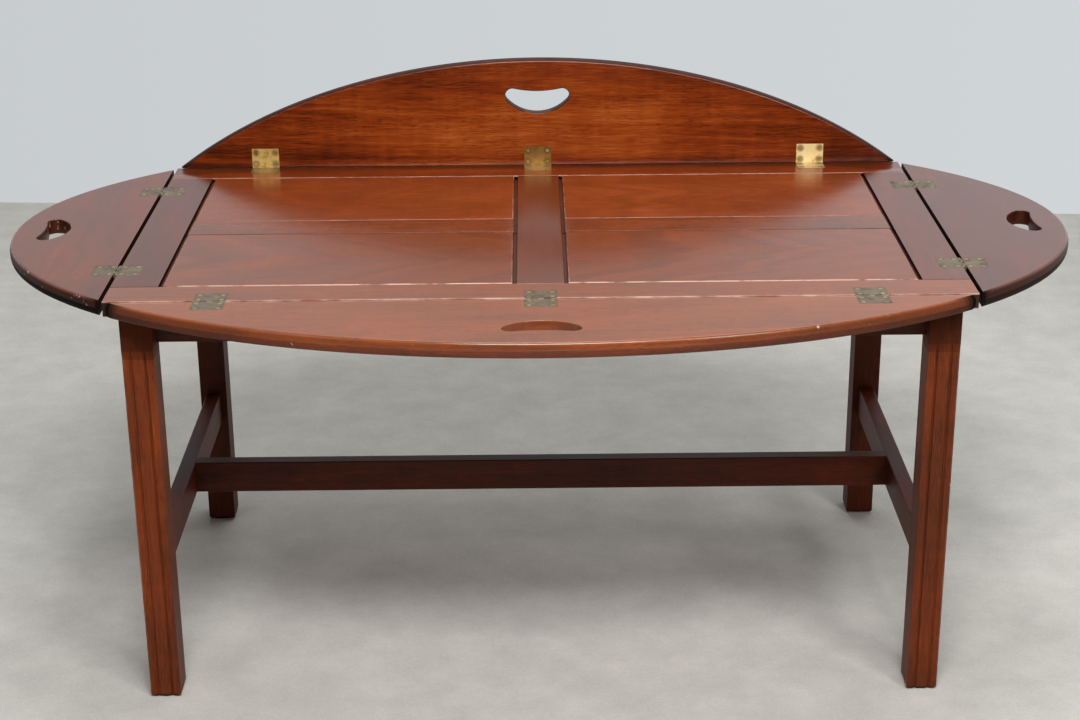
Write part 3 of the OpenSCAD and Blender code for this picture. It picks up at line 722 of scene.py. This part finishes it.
# Joins rings of equal length into a closed solid
def loft(name, rings):
    shape = bmesh.new()
    rows = [[shape.verts.new(point) for point in ring] for ring in rings]
    count = len(rows[0])
    for lower, upper in zip(rows, rows[1:]):
        for i in range(count):
            j = (i + 1) % count
            shape.faces.new((lower[i], lower[j], upper[j], upper[i]))
    shape.faces.new(rows[0][::-1])
    shape.faces.new(rows[-1])
    bmesh.ops.recalc_face_normals(shape, faces=shape.faces)
    return plainMesh(name, shape)


# Points of an arc, its end left out
def arcPoints(centreX, centreY, radius, fromTurn, toTurn, steps):
    turns = [fromTurn + (toTurn - fromTurn) * i / steps for i in range(steps)]
    return [(centreX + radius * math.cos(t), centreY + radius * math.sin(t)) for t in turns]


# A kidney from two round ends, a bellied side and a dipped side, grown outwards by spread
def fingerHoleOutline(spread):
    endRadius = leafShape["holeEndRadius"] * mm
    half = leafShape["holeLength"] * mm / 2 - endRadius
    belly = leafShape["holeWidth"] * mm - 2 * endRadius
    dip = leafShape["holeDip"] * mm
    bellyY = (half * half - belly * belly) / (2 * belly)
    bellyTurn = math.atan(half / bellyY)
    dipY = (half * half - dip * dip) / (2 * dip)
    dipTurn = math.atan(half / dipY)
    steps = leafShape["holeArcSteps"]
    grown = endRadius + spread
    return (arcPoints(half, 0, grown, bellyTurn - quarterTurn, quarterTurn + dipTurn, steps)
            + arcPoints(0, dipY, dipY + dip - grown, dipTurn - quarterTurn, -dipTurn - quarterTurn, steps)
            + arcPoints(-half, 0, grown, quarterTurn - dipTurn, 3 * quarterTurn - bellyTurn, steps)
            + arcPoints(0, bellyY, bellyY + belly + grown, 3 * quarterTurn - bellyTurn,
                        3 * quarterTurn + bellyTurn, steps))


# A cutter for the finger hole, flared at both faces so that its edges come out round
def fingerHoleCutter(low, high, outY):
    ease = leafShape["holeEase"] * mm
    past = 1 * mm
    turns = [quarterTurn * i / 6 for i in range(7)]
    levels = [(low - past, ease)]
    levels += [(low + ease * (1 - math.cos(t)), ease * (1 - math.sin(t))) for t in turns]
    levels += [(high - ease * (1 - math.cos(t)), ease * (1 - math.sin(t))) for t in reversed(turns)]
    levels += [(high + past, ease)]
    rings = [[(x, y + outY, z) for x, y in fingerHoleOutline(spread)] for z, spread in levels]
    return loft("holeCutter", rings)


# The recess for a hinge plate, with the plate's own width, reach and round corners
def recessCutter(centreX, halfWidth, reach):
    play = leafShape["recessPlay"] * mm
    radius = leafShape["plateCornerRadius"] * mm
    halfWidth += play
    reach += play
    outline = [(halfWidth, 0)]
    outline += arcPoints(halfWidth - radius, reach - radius, radius, 0, quarterTurn, 6)
    outline += arcPoints(radius - halfWidth, reach - radius, radius, quarterTurn, 2 * quarterTurn, 6)
    outline += [(-halfWidth, reach - radius), (-halfWidth, 0)]
    rings = [[(centreX + x, y, z) for x, y in outline] for z in (0, plateThick + 1 * mm)]
    return loft("recessCutter", rings)


# Cuts the given meshes out of a piece
def carve(piece, cutters):
    tools = [newObject("cutter", mesh) for mesh in cutters]
    for tool in tools:
        cut = piece.modifiers.new("cut", "BOOLEAN")
        cut.operation = "DIFFERENCE"
        cut.solver = "MANIFOLD"
        cut.object = tool
    settle(piece)
    for tool in tools:
        bpy.data.objects.remove(tool)


# Rings of a leaf from its underside up: a segment of the oval, with a round nose all round its rim and a
# crisp straight edge, moved by the film or the wear on it
def leafRings(along, out, back, film):
    half = boardThick / 2
    middleZ = plateThick - half
    ease = leafShape["edgeEase"] * mm
    power = 2 / leafShape["rimSquare"]
    rings = []
    for k in range(leafShape["noseSteps"] + 1):
        turn = math.pi * (k / leafShape["noseSteps"] - 0.5)
        rise = math.copysign(half * abs(math.sin(turn)) ** power, turn)
        inset = leafShape["rimRound"] * mm * (1 - abs(math.cos(turn)) ** power)
        overEase = max(0.0, abs(rise) - (half - ease)) / ease
        startY = leafGap / 2 - film + ease * (1 - math.sqrt(1 - min(1.0, overEase) ** 2))
        first = math.asin((back + startY) / (out - inset))
        steps = leafShape["rimSteps"]
        turns = [first + (math.pi - 2 * first) * i / steps for i in range(steps + 1)]
        rings.append([((along - inset) * math.cos(t), (out - inset) * math.sin(t) - back, middleZ + rise)
                      for t in turns])
    return rings


# Dirt and painted shade on the walls of the joint and of the finger hole and on the rim, and the tips'
# black
def leafDirtAndShade(face, side, along, holeY):
    holeReach = (leafShape["holeLength"] / 2 + leafShape["edgeEase"]) * mm
    if abs(face.normal.z) > 0.95:
        return 0.0
    # The walls of the gap to the tray: dirt and painted shade
    if face.center.y < leafGap and face.normal.y < -0.9:
        return jointDirtAndShade["wall"]
    if abs(face.center.x) < holeReach and abs(face.center.y - holeY) < holeReach / 2:
        return leafShape["holeDirtAndShade"][side]
    start, full = leafShape["rimDirtAndShadeFrom"][side]
    under = min(1.0, max(0.0, (start - face.normal.z) / (start - full)))
    middle, atTips = leafShape["frontRimSpread"]
    alongFrontRim = middle + atTips * (face.center.x / along) ** 2 if side == "front" else 1.0
    # Painted shade on the rim's lower half, which faces the floor
    low = leafShape["rimUnderShade"] if face.normal.z < 0 else 0.0
    tip = leafShape["tipBlackness"] * (1 - (face.center.y - leafGap) / mm / leafShape["tipDepth"])
    return max(tip, leafShape["rimDirtAndShade"][side] * under * alongFrontRim + low)


# A leaf of the oval, with its finger hole and the recesses for its plates, made flat about its pin line
def leafPiece(side):
    node = "leaf_" + side
    isLong = side in ("front", "rear")
    along, out, back = (ovalAlong, ovalAcross, traySide) if isLong else (ovalAcross, ovalAlong, trayEnd)
    back += leafGap / 2
    film = (leafShape["edgeFilm"] if isLong else -leafShape["edgeWear"]) * mm
    mesh = loft(node, leafRings(along, out, back, film))
    piece = newPiece(node + "_shaped", mesh, polishedMahogany(node))
    rim = leafShape["sideHoleRim"] if isLong else leafShape["endHoleRim"]
    holeY = out - back - (rim + leafShape["holeEndRadius"]) * mm
    cutters = [fingerHoleCutter(plateThick - boardThick, plateThick, holeY)]
    toLocal = sideMatrix(side).inverted()
    for plate in sorted(bodyOfNode):
        if plate.startswith("leaf_plate_" + side):
            corners = [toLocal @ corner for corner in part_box(plate)]
            centreX = (corners[0].x + corners[1].x) / 2
            halfWidth = abs(corners[1].x - corners[0].x) / 2
            reach = max(corners[0].y, corners[1].y)
            cutters.append(recessCutter(centreX, halfWidth, reach))
    carve(piece, cutters)
    markFaces(piece.data, "soil", lambda face: leafDirtAndShade(face, side, along, holeY))
    chips = leafShape["rimChips"][side]
    markFaces(piece.data, "rim",
              lambda face: chips if abs(face.normal.z) < 0.8 and face.center.y > leafGap else 0.0)
    piece.data.transform(sideMatrix(side))
    smoothFaces(piece.data, 35)
    return finishPiece(evenShading(piece), "mahogany", node)


for side in sideTurns:
    leafPiece(side)
print("leaves shaped")

# Legs
legShape = {
    "footEase": 2.0,
    "innerEase": 0.8,
    "outerEase": 2.2,
    "topEase": 0.8,
    "beadSide": 7.4,
    "beadRadius": 1.6,
    "beadBelow": 2.5,
    "beadRun": 9.0,
    "beadSteps": 8,
    "crown": 0.45,
    # Dirt and painted shade lie in the grooves from such a share of their depth down
    "grooveDirtAndShade": 0.4,
    "grooveDirtAndShadeFrom": 0.4,
    "arrisWear": 0.3,
    # Grime that feet leave and painted shade, most at the floor and none at its height
    "footGrimeAndShade": 0.45,
    "footGrimeAndShadeHeight": 330,
    # The tray's painted shadow on the legs' tops, over such a depth
    "topShadow": 0.75,
    "topShadowDepth": 100,
    "chips": 0.86,
}


# Section of the rear right leg about its middle, with grooves in both outer faces that are cut to the
# given share and a slightly crowned strip between them
def legSection(halfX, halfY, outerEase, bead):
    inner = legShape["innerEase"] * mm
    side = legShape["beadSide"] * mm
    steps = legShape["beadSteps"]
    radius = legShape["beadRadius"] * mm * bead

    # How far the strip's crown leaves the face at a place along it
    def crownDrop(place):
        if abs(place) < side:
            return legShape["crown"] * mm * (place / side) ** 2 * bead
        return 0.0

    # Places along a face and their depths in the grooves
    stations = []
    for centre in (-side, side):
        for i in range(steps + 1):
            turn = math.pi * i / steps
            stations.append((centre - radius * math.cos(turn), radius * math.sin(turn)))
        if centre < 0:
            stations += [(share * side, 0) for share in (-0.5, -0.25, 0, 0.25, 0.5)]
    points = arcPoints(inner - halfX, inner - halfY, inner, 2 * quarterTurn, 3 * quarterTurn, 3)
    points += arcPoints(halfX - inner, inner - halfY, inner, -quarterTurn, 0, 3)
    points += [(halfX - depth - crownDrop(place), place) for place, depth in stations]
    points += arcPoints(halfX - outerEase, halfY - outerEase, outerEase, 0, quarterTurn, 5)
    points += [(-place, halfY - depth - crownDrop(place)) for place, depth in stations]
    points += arcPoints(inner - halfX, halfY - inner, inner, quarterTurn, 2 * quarterTurn, 3)
    return points


# Levels of a leg from its foot up: height, inset, ease of the outer edge and share of the grooves, which
# run out in a quarter round below the apron
def legLevels(low, high):
    foot = legShape["footEase"] * mm
    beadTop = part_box("apron_front")[0].z - legShape["beadBelow"] * mm
    runStart = beadTop - legShape["beadRun"] * mm
    outer = legShape["outerEase"] * mm
    top = legShape["topEase"] * mm
    # A loft needs the same points on every ring, so the grooves never vanish quite
    least = 0.02
    levels = []
    for i in range(5):
        turn = quarterTurn * i / 4
        levels.append((low.z + foot * (1 - math.cos(turn)), foot * (1 - math.sin(turn)), outer, 1.0))
    for i in range(7):
        share = i / 6
        levels.append((runStart + (beadTop - runStart) * share, 0, top + (outer - top) * (1 - share),
                       max(math.sqrt(1 - share), least)))
    levels.append((high.z, 0, top, least))
    return levels


def legPiece(node):
    low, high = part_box(node)
    halfX = (high.x - low.x) / 2
    halfY = (high.y - low.y) / 2
    rings = []
    for z, inset, ease, bead in legLevels(low, high):
        shrinkX = (halfX - inset) / halfX
        shrinkY = (halfY - inset) / halfY
        rings.append([(x * shrinkX, y * shrinkY, z) for x, y in legSection(halfX, halfY, ease, bead)])
    mesh = loft(node, rings)
    deepest = legShape["beadRadius"]

    # Depths of a face's middle under the two outer faces, in millimetres
    def depths(face):
        return (halfX - face.center.x) / mm, (halfY - face.center.y) / mm

    # Grime and painted shade at the foot, the tray's painted shadow at the top, and dirt and painted shade
    # in the grooves
    def legDirtAndShade(face):
        grimeAndShade = legShape["footGrimeAndShade"] * (1 - face.center.z / mm / legShape["footGrimeAndShadeHeight"])
        shade = legShape["topShadow"] * (1 - (high.z - face.center.z) / mm / legShape["topShadowDepth"])
        sunk = min(depths(face))
        groove = legShape["grooveDirtAndShade"] * (sunk / deepest - legShape["grooveDirtAndShadeFrom"])
        return max(grimeAndShade, shade, groove if sunk < 2 * deepest else 0.0)

    # The outer arris is rubbed and chipped
    def onArris(face):
        return max(depths(face)) < legShape["outerEase"]

    markFaces(mesh, "soil", legDirtAndShade)
    markFaces(mesh, "wear", lambda face: legShape["arrisWear"] if onArris(face) else 0.0)
    markFaces(mesh, "rim", lambda face: legShape["chips"] if onArris(face) else 0.0)
    middle = (low + high) / 2
    mirror = Matrix.Diagonal((math.copysign(1, middle.x), math.copysign(1, middle.y), 1, 1))
    mesh.transform(Matrix.Translation((middle.x, middle.y, 0)) @ mirror)
    if middle.x * middle.y < 0:
        mesh.flip_normals()
    piece = newPiece(node + "_beaded", mesh, polishedMahogany(node), 40)
    return finishPiece(evenShading(piece), "mahogany", node)


for node in sorted(bodyOfNode):
    if node.startswith("leg_"):
        legPiece(node)
print("legs beaded")

# Hinges: the plates keep their solids, with every outer edge eased by so much (mm)
plateEase = 0.15
# The plates with lighter brasses, which paint the lamps' highlights on them, brightest at the right; the
# others are dull
highlightedPlates = {
    "leaf_plate_rear_left": "highlightBrass",
    "leaf_plate_rear_centre": "faintHighlightBrass",
    "leaf_plate_rear_right": "strongHighlightBrass",
    "tray_plate_rear_left": "litBrass",
    "tray_plate_rear_centre": "litBrass",
    "tray_plate_rear_right": "brightLitBrass",
}


# Gives each point of a plate its place from the middle of the pin line, for the stains
def markPlate(mesh, toLocal):
    places = [toLocal @ vertex.co for vertex in mesh.vertices]
    middle = (min(place.x for place in places) + max(place.x for place in places)) / 2
    marks = mesh.attributes.new("plate", "FLOAT_VECTOR", "POINT").data
    for mark, place in zip(marks, places):
        mark.vector = (place.x - middle, abs(place.y), 0)


for node in sorted(bodyOfNode):
    if "_plate_" in node and not node.endswith("screws"):
        metal = brass[highlightedPlates.get(node, "dullBrass")]
        plate = easedCopy(node, metal, plateEase, minLength=0.8, segments=2, minAngle=60)
        markPlate(plate.data, plateMatrix(node.split("_")[2], node.startswith("tray")))
        finishPiece(plate, "brass", node)
for node, metal in (("hinge_pins", brass["turnedBrass"]), ("detent_strips", springSteel)):
    frame["nodes"][node].data.materials.clear()
    frame["nodes"][node].data.materials.append(metal)


# Screws

# A slotted screw on each point of a mesh, its head's top at the point and its slot turned at random
def slottedScrews():
    tree = bpy.data.node_groups.new("slottedScrews", "GeometryNodeTree")
    add = partial(addNode, tree)
    face = tree.interface
    sizes = ("Head Radius", "Shank Radius", "Head Height", "Length", "Slot Width", "Slot Depth", "Taper")
    inputs = [("Geometry", "Geometry"), *((name, "Float") for name in sizes), ("Turn", "Vector"),
              ("Seed", "Int"), ("Material", "Material")]
    for name, kind in inputs:
        face.new_socket(name, in_out="INPUT", socket_type="NodeSocket" + kind)
    face.new_socket("Geometry", in_out="OUTPUT", socket_type="NodeSocketGeometry")
    given = add("NodeGroupInput").outputs

    # The head narrows from its top to the shank, or not at all where Taper is 0
    narrow = add("ShaderNodeMix", {0: given["Taper"], 2: given["Head Radius"], 3: given["Shank Radius"]},
                 data_type="FLOAT")
    head = add("GeometryNodeMeshCone", {"Vertices": 32, "Radius Top": given["Head Radius"],
                                        "Radius Bottom": narrow, "Depth": given["Head Height"]})
    sunk = add("ShaderNodeMath", {0: given["Head Height"], 1: -1.0}, operation="MULTIPLY")
    drop = add("ShaderNodeCombineXYZ", {"Z": sunk})
    head = add("GeometryNodeTransform", {"Geometry": head, "Translation": drop})
    wide = add("ShaderNodeMath", {0: given["Head Radius"], 1: 3.0}, operation="MULTIPLY")
    deep = add("ShaderNodeMath", {0: given["Slot Depth"], 1: 2.0}, operation="MULTIPLY")
    slotSize = add("ShaderNodeCombineXYZ", {"X": wide, "Y": given["Slot Width"], "Z": deep})
    slot = add("GeometryNodeMeshCube", {"Size": slotSize})
    cut = add("GeometryNodeMeshBoolean", {"Mesh 1": head, "Mesh 2": slot}, operation="DIFFERENCE")
    shank = add("GeometryNodeMeshCylinder", {"Vertices": 20, "Radius": given["Shank Radius"],
                                             "Depth": given["Length"]})
    low = add("ShaderNodeMath", {0: given["Length"], 1: -0.5, 2: sunk}, operation="MULTIPLY_ADD")
    low = add("ShaderNodeCombineXYZ", {"Z": low})
    shank = add("GeometryNodeTransform", {"Geometry": shank, "Translation": low})
    screw = add("GeometryNodeJoinGeometry", {0: shank})
    fillInputs(screw, {0: cut})
    spin = add("FunctionNodeRandomValue", {3: math.pi, "Seed": given["Seed"]}, data_type="FLOAT")
    spin = add("ShaderNodeCombineXYZ", {"Z": spin.outputs[1]})
    spin = add("FunctionNodeEulerToRotation", {0: spin})
    turn = add("FunctionNodeEulerToRotation", {0: given["Turn"]})
    turned = add("FunctionNodeRotateRotation", {0: turn, 1: spin}, rotation_space="LOCAL")
    placed = add("GeometryNodeInstanceOnPoints", {"Points": given["Geometry"], "Instance": screw,
                                                  "Rotation": turned})
    real = add("GeometryNodeRealizeInstances", {"Geometry": placed})
    painted = add("GeometryNodeSetMaterial", {"Geometry": real, "Material": given["Material"]})
    add("NodeGroupOutput", {"Geometry": painted})
    return tree


screwTree = slottedScrews()


# Screws at the given points, all turned the same way, as one plain mesh
def screwSet(name, points, turn, settings, taper, metal, seed):
    mesh = bpy.data.meshes.new(name)
    mesh.from_pydata(points, [], [])
    piece = newObject(name, mesh)
    maker = piece.modifiers.new("screws", "NODES")
    values = {key: value * mm for key, value in settings.items() if key[0].isupper()}
    values.update({"Taper": taper, "Turn": turn, "Seed": seed, "Material": metal})
    maker.node_group = screwTree
    for socket in screwTree.interface.items_tree:
        if socket.item_type == "SOCKET" and socket.in_out == "INPUT" and socket.name in values:
            maker[socket.identifier] = values[socket.name]
    settle(piece)
    smoothFaces(piece.data, 30)
    return piece


# Head centres of one plate's four screws
def plateScrewPoints(side, plate, outward):
    toLocal = plateMatrix(side, outward < 0)
    corners = [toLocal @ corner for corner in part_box(plate)]
    centreX = (corners[0].x + corners[1].x) / 2
    points = []
    for x in (-hingeScrew["side"], hingeScrew["side"]):
        for y in (hingeScrew["near"], hingeScrew["far"]):
            points.append(toLocal.inverted() @ Vector((centreX + x * mm, outward * y * mm, plateThick)))
    return points


trayPoints = []
for side in sideTurns:
    leafPoints = []
    for node in sorted(bodyOfNode):
        if node.startswith("leaf_plate_" + side):
            leafPoints += plateScrewPoints(side, node, 1)
        if node.startswith("tray_plate_" + side):
            trayPoints += plateScrewPoints(side, node, -1)
    turn = (quarterTurn, 0, 0) if side == "rear" else (0, 0, 0)
    metal = brass["turnedBrass" if side == "rear" else "dullTurnedBrass"]
    screws = screwSet("leaf_screws_" + side + "_slotted", leafPoints, turn, hingeScrew, 1.0, metal, 3)
    finishPiece(screws, "brass", "leaf_screws_" + side)
metal = brass["dullTurnedBrass"]
screws = screwSet("tray_plate_screws_slotted", trayPoints, (0, 0, 0), hingeScrew, 1.0, metal, 8)
finishPiece(screws, "brass", "tray_plate_screws")
print("screws set:", len(trayPoints), "in the tray")

# Small parts of the base
blockScrew = {
    "Head Radius": 4.0,
    "Shank Radius": 2.0,
    "Head Height": 2.5,
    "Length": 32.0,
    "Slot Width": 0.9,
    "Slot Depth": 1.0,
}
blockEase = 0.8
# Profiles of the round parts from the bottom up, as radius and height in millimetres
glideProfile = [(5.5, 0), (7.6, 0.15), (9, 0.6), (9.8, 1.3), (10, 2), (1.2, 2), (1.2, 14), (0.3, 16)]
dowelProfile = [(3.2, 0), (3.8, 0.4), (4, 1), (4, 19.4), (3.7, 20.4), (3, 21)]
turnedSteps = 40


# Boxes of the separate solids of a node
def solidBoxes(node):
    shape = weldedNode(node)
    waiting = set(shape.verts)
    boxes = []
    while waiting:
        edgeOfIsland = [waiting.pop()]
        points = []
        while edgeOfIsland:
            vertex = edgeOfIsland.pop()
            points.append(vertex.co.copy())
            for edge in vertex.link_edges:
                other = edge.other_vert(vertex)
                if other in waiting:
                    waiting.remove(other)
                    edgeOfIsland.append(other)
        boxes.append(tuple(Vector(pick(p[i] for p in points) for i in range(3)) for pick in (min, max)))
    shape.free()
    return sorted(boxes, key=lambda box: tuple(box[0]))


# Several meshes as one piece with one material
def joinedPiece(name, meshes, material, sharpAngle):
    shape = bmesh.new()
    for mesh in meshes:
        shape.from_mesh(mesh)
    return newPiece(name, plainMesh(name, shape), material, sharpAngle)


# Round parts standing where a node's solids stand
def turnedPiece(node, profile, material):
    meshes = []
    for low, high in solidBoxes(node):
        middle = (low + high) / 2
        rings = []
        for radius, height in profile:
            circle = arcPoints(middle.x, middle.y, radius * mm, 0, 2 * math.pi, turnedSteps)
            rings.append([(x, y, low.z + height * mm) for x, y in circle])
        meshes.append(loft(node, rings))
    return joinedPiece(node + "_turned", meshes, material, 40)


# Each block's screws run outwards from their heads, one along each axis
def blockScrews():
    meshes = []
    for i, (low, high) in enumerate(solidBoxes("corner_screws")):
        middle = (low + high) / 2
        axis = 0 if high.x - low.x > high.y - low.y else 1
        head = middle.copy()
        head[axis] = min((low[axis], high[axis]), key=abs)
        outward = math.copysign(quarterTurn, middle[axis])
        turn = (0, -outward, 0) if axis == 0 else (outward, 0, 0)
        screw = screwSet("blockScrew", [head], turn, blockScrew, 0.0, steel, i)
        meshes.append(screw.data)
        bpy.data.objects.remove(screw)
    return joinedPiece("corner_screws_slotted", meshes, steel, 30)


finishPiece(blockScrews(), "steel", "corner_screws")
blocks = easedCopy("corner_blocks", beech, blockEase, minLength=15, segments=2)
finishPiece(blocks, "secondary_wood", "corner_blocks")
finishPiece(turnedPiece("foot_glides", glideProfile, steel), "steel", "foot_glides")
finishPiece(turnedPiece("locating_dowels", dowelProfile, beech), "secondary_wood", "locating_dowels")
print("small parts turned")

# Stage
studio = {
    "wall": "#cbcfd2",
    # The wall in sight is a little brighter at its right, by these strengths over such a lean of the view
    "wallStrengths": (0.97, 1.06),
    "wallLean": 0.25,
    "front": "#3c3a38",
    "ambient": "#bcbcbc",
    # The room is dark in front of the table and bright behind it
    "ambientStrengths": (0.02, 0.2),
    # The room mirrored in the top is brighter at its sides than in its middle, most of all at the right
    "mirrorMiddle": 0.93,
    "mirrorSides": (1.15, 1.5),
    "floor": "#d6d6d3",
    # A faint mottle of such a size and a grit (mm), the grit's share, and the range that they tint
    "mottle": 71.43,
    "grit": 3.846,
    "gritShare": 0.6,
    "floorTints": (0.87, 1.13),
    # The floor ends at a wall that runs a little askew, by so much at its left and its right
    "floorFar": (1.95, 1.23),
    "floorNear": -4.5,
    "floorHalfWidth": 5.0,
}
# Place and target, width and depth in metres, watts and colour of each soft lamp
lamps = {
    "middleLamp": ((0.1, -2.0, 2.6), (0, 0, 0.3), 1.3, 0.6, 63.5, "#fffcf7"),
    "rightLamp": ((1.5, -2.2, 2.3), (0, 0, 0.3), 0.7, 0.7, 27.5, "#fffcf7"),
    "leftLamp": ((-1.8, -1.9, 2.3), (0, 0, 0.3), 0.7, 0.7, 6, "#fffcf7"),
    "topLamp": ((0, 0.1, 2.8), (0, 0, 0), 0.6, 0.6, 12, "#fffcf7"),
    "rearLamp": ((0.3, 1.65, 3.3), (0.1, 1.3, 0.0), 2.8, 1.0, 37.5, "#fdfdf8"),
}


# Light from all round for the wood, and the pale wall for the camera and for reflections, which fades to
# the darker room in front of the table
def studioWorld():
    world = bpy.data.worlds.new("studio")
    bpy.context.scene.world = world
    world.use_nodes = True
    world.node_tree.nodes.clear()
    add = partial(addNode, world.node_tree)
    direction = add("ShaderNodeTexCoord").outputs["Generated"]
    parts = add("ShaderNodeSeparateXYZ", {0: direction}).outputs
    rearward = add("ShaderNodeMapRange", {"Value": parts["Y"], "From Min": -0.5, "From Max": 0.35},
                   interpolation_type="SMOOTHSTEP")
    room = add("ShaderNodeMix", {0: rearward, 6: linearColour(studio["front"]),
                                 7: linearColour(studio["wall"])}, data_type="RGBA")
    dark, bright = studio["ambientStrengths"]
    ambient = add("ShaderNodeMapRange", {"Value": parts["Y"], "From Min": -0.5, "From Max": 0.5,
                                         "To Min": dark, "To Max": bright})
    around = add("ShaderNodeBackground", {"Color": linearColour(studio["ambient"]), "Strength": ambient})
    lean = studio["wallLean"]
    strength = studio["mirrorMiddle"]
    for end, brightness in zip((-lean, lean), studio["mirrorSides"]):
        more = add("ShaderNodeMapRange", {"Value": parts["X"], "From Min": 0.0, "From Max": end,
                                          "To Max": brightness - studio["mirrorMiddle"]})
        strength = add("ShaderNodeMath", {0: more, 1: strength}, operation="ADD")
    mirrored = add("ShaderNodeBackground", {"Color": room.outputs[2], "Strength": strength})
    left, right = studio["wallStrengths"]
    across = add("ShaderNodeMapRange", {"Value": parts["X"], "From Min": -lean, "From Max": lean,
                                        "To Min": left, "To Max": right})
    seen = add("ShaderNodeBackground", {"Color": linearColour(studio["wall"]), "Strength": across})
    path = add("ShaderNodeLightPath").outputs
    shiny = add("ShaderNodeMath", {0: path["Is Glossy Ray"], 1: path["Is Transmission Ray"]},
                operation="MAXIMUM")
    lit = add("ShaderNodeMixShader", {0: shiny, 1: around, 2: mirrored})
    whole = add("ShaderNodeMixShader", {0: path["Is Camera Ray"], 1: lit, 2: seen})
    add("ShaderNodeOutputWorld", {"Surface": whole})


def softLamp(name, place, target, width, depth, watts, colour):
    lamp = bpy.data.lights.new(name, "AREA")
    lamp.shape = "RECTANGLE"
    lamp.size = width
    lamp.size_y = depth
    lamp.energy = watts
    lamp.color = linearColour(colour)[:3]
    holder = newObject(name, lamp)
    holder.location = place
    holder.rotation_euler = (Vector(target) - Vector(place)).to_track_quat("-Z", "Y").to_euler()


# A plain pale floor, matt, with the faintest mottle
def studioFloor():
    material, add, shader = newMaterial("paleFloor", IOR=1.45, Roughness=0.85)
    source = add("ShaderNodeTexCoord").outputs["Object"]
    clouds = add("ShaderNodeTexNoise", {"Vector": source, "Scale": 1 / (studio["mottle"] * mm),
                                        "Detail": 6.0, "Roughness": 0.7})
    grit = add("ShaderNodeTexNoise", {"Vector": source, "Scale": 1 / (studio["grit"] * mm), "Detail": 3.0,
                                      "Roughness": 0.7})
    mixed = add("ShaderNodeMath", {0: grit, 1: studio["gritShare"], 2: clouds}, operation="MULTIPLY_ADD")
    dark, bright = studio["floorTints"]
    tint = add("ShaderNodeMapRange", {"Value": mixed, "From Min": 0.55, "From Max": 1.05, "To Min": dark,
                                      "To Max": bright})
    colour = add("ShaderNodeMix", {0: 1.0, 6: linearColour(studio["floor"]), 7: tint}, data_type="RGBA",
                 blend_type="MULTIPLY")
    fillInputs(shader, {"Base Color": colour.outputs[2]})
    half = studio["floorHalfWidth"]
    near = studio["floorNear"]
    farLeft, farRight = studio["floorFar"]
    mesh = bpy.data.meshes.new("floor")
    mesh.from_pydata([(-half, near, 0), (half, near, 0), (half, farRight, 0), (-half, farLeft, 0)], [],
                     [(0, 1, 2, 3)])
    newPiece("floor", mesh, material)


studioWorld()
studioFloor()
for name, settings in lamps.items():
    softLamp(name, *settings)

# Camera: fitted to the photograph's corners, focal length and centre in pixels of its 1080 x 720 frame
view = {
    "place": (-0.0093, -2.2254, 1.1135),
    "yaw": 0.213,
    "pitch": 22.252,
    "roll": -0.482,
    "focal": 2117.6,
    "centreRow": 430,
    "frameWidth": 1080,
    "frameHeight": 720,
}


def studioCamera():
    yaw, pitch, roll = (math.radians(view[key]) for key in ("yaw", "pitch", "roll"))
    forward = Vector((math.sin(yaw) * math.cos(pitch), math.cos(yaw) * math.cos(pitch), -math.sin(pitch)))
    level = Vector((math.cos(yaw), -math.sin(yaw), 0))
    upright = level.cross(forward)
    right = math.cos(roll) * level + math.sin(roll) * upright
    up = math.cos(roll) * upright - math.sin(roll) * level
    lens = bpy.data.cameras.new("camera")
    lens.sensor_fit = "HORIZONTAL"
    lens.sensor_width = 36
    lens.lens = view["focal"] * lens.sensor_width / view["frameWidth"]
    lens.shift_y = (view["centreRow"] - view["frameHeight"] / 2) / view["frameWidth"]
    holder = newObject("camera", lens)
    rotation = Matrix((right, up, -forward)).transposed().to_4x4()
    holder.matrix_world = Matrix.Translation(view["place"]) @ rotation
    bpy.context.scene.camera = holder


studioCamera()
bpy.context.scene.view_settings.view_transform = "Standard"
print("stage set")
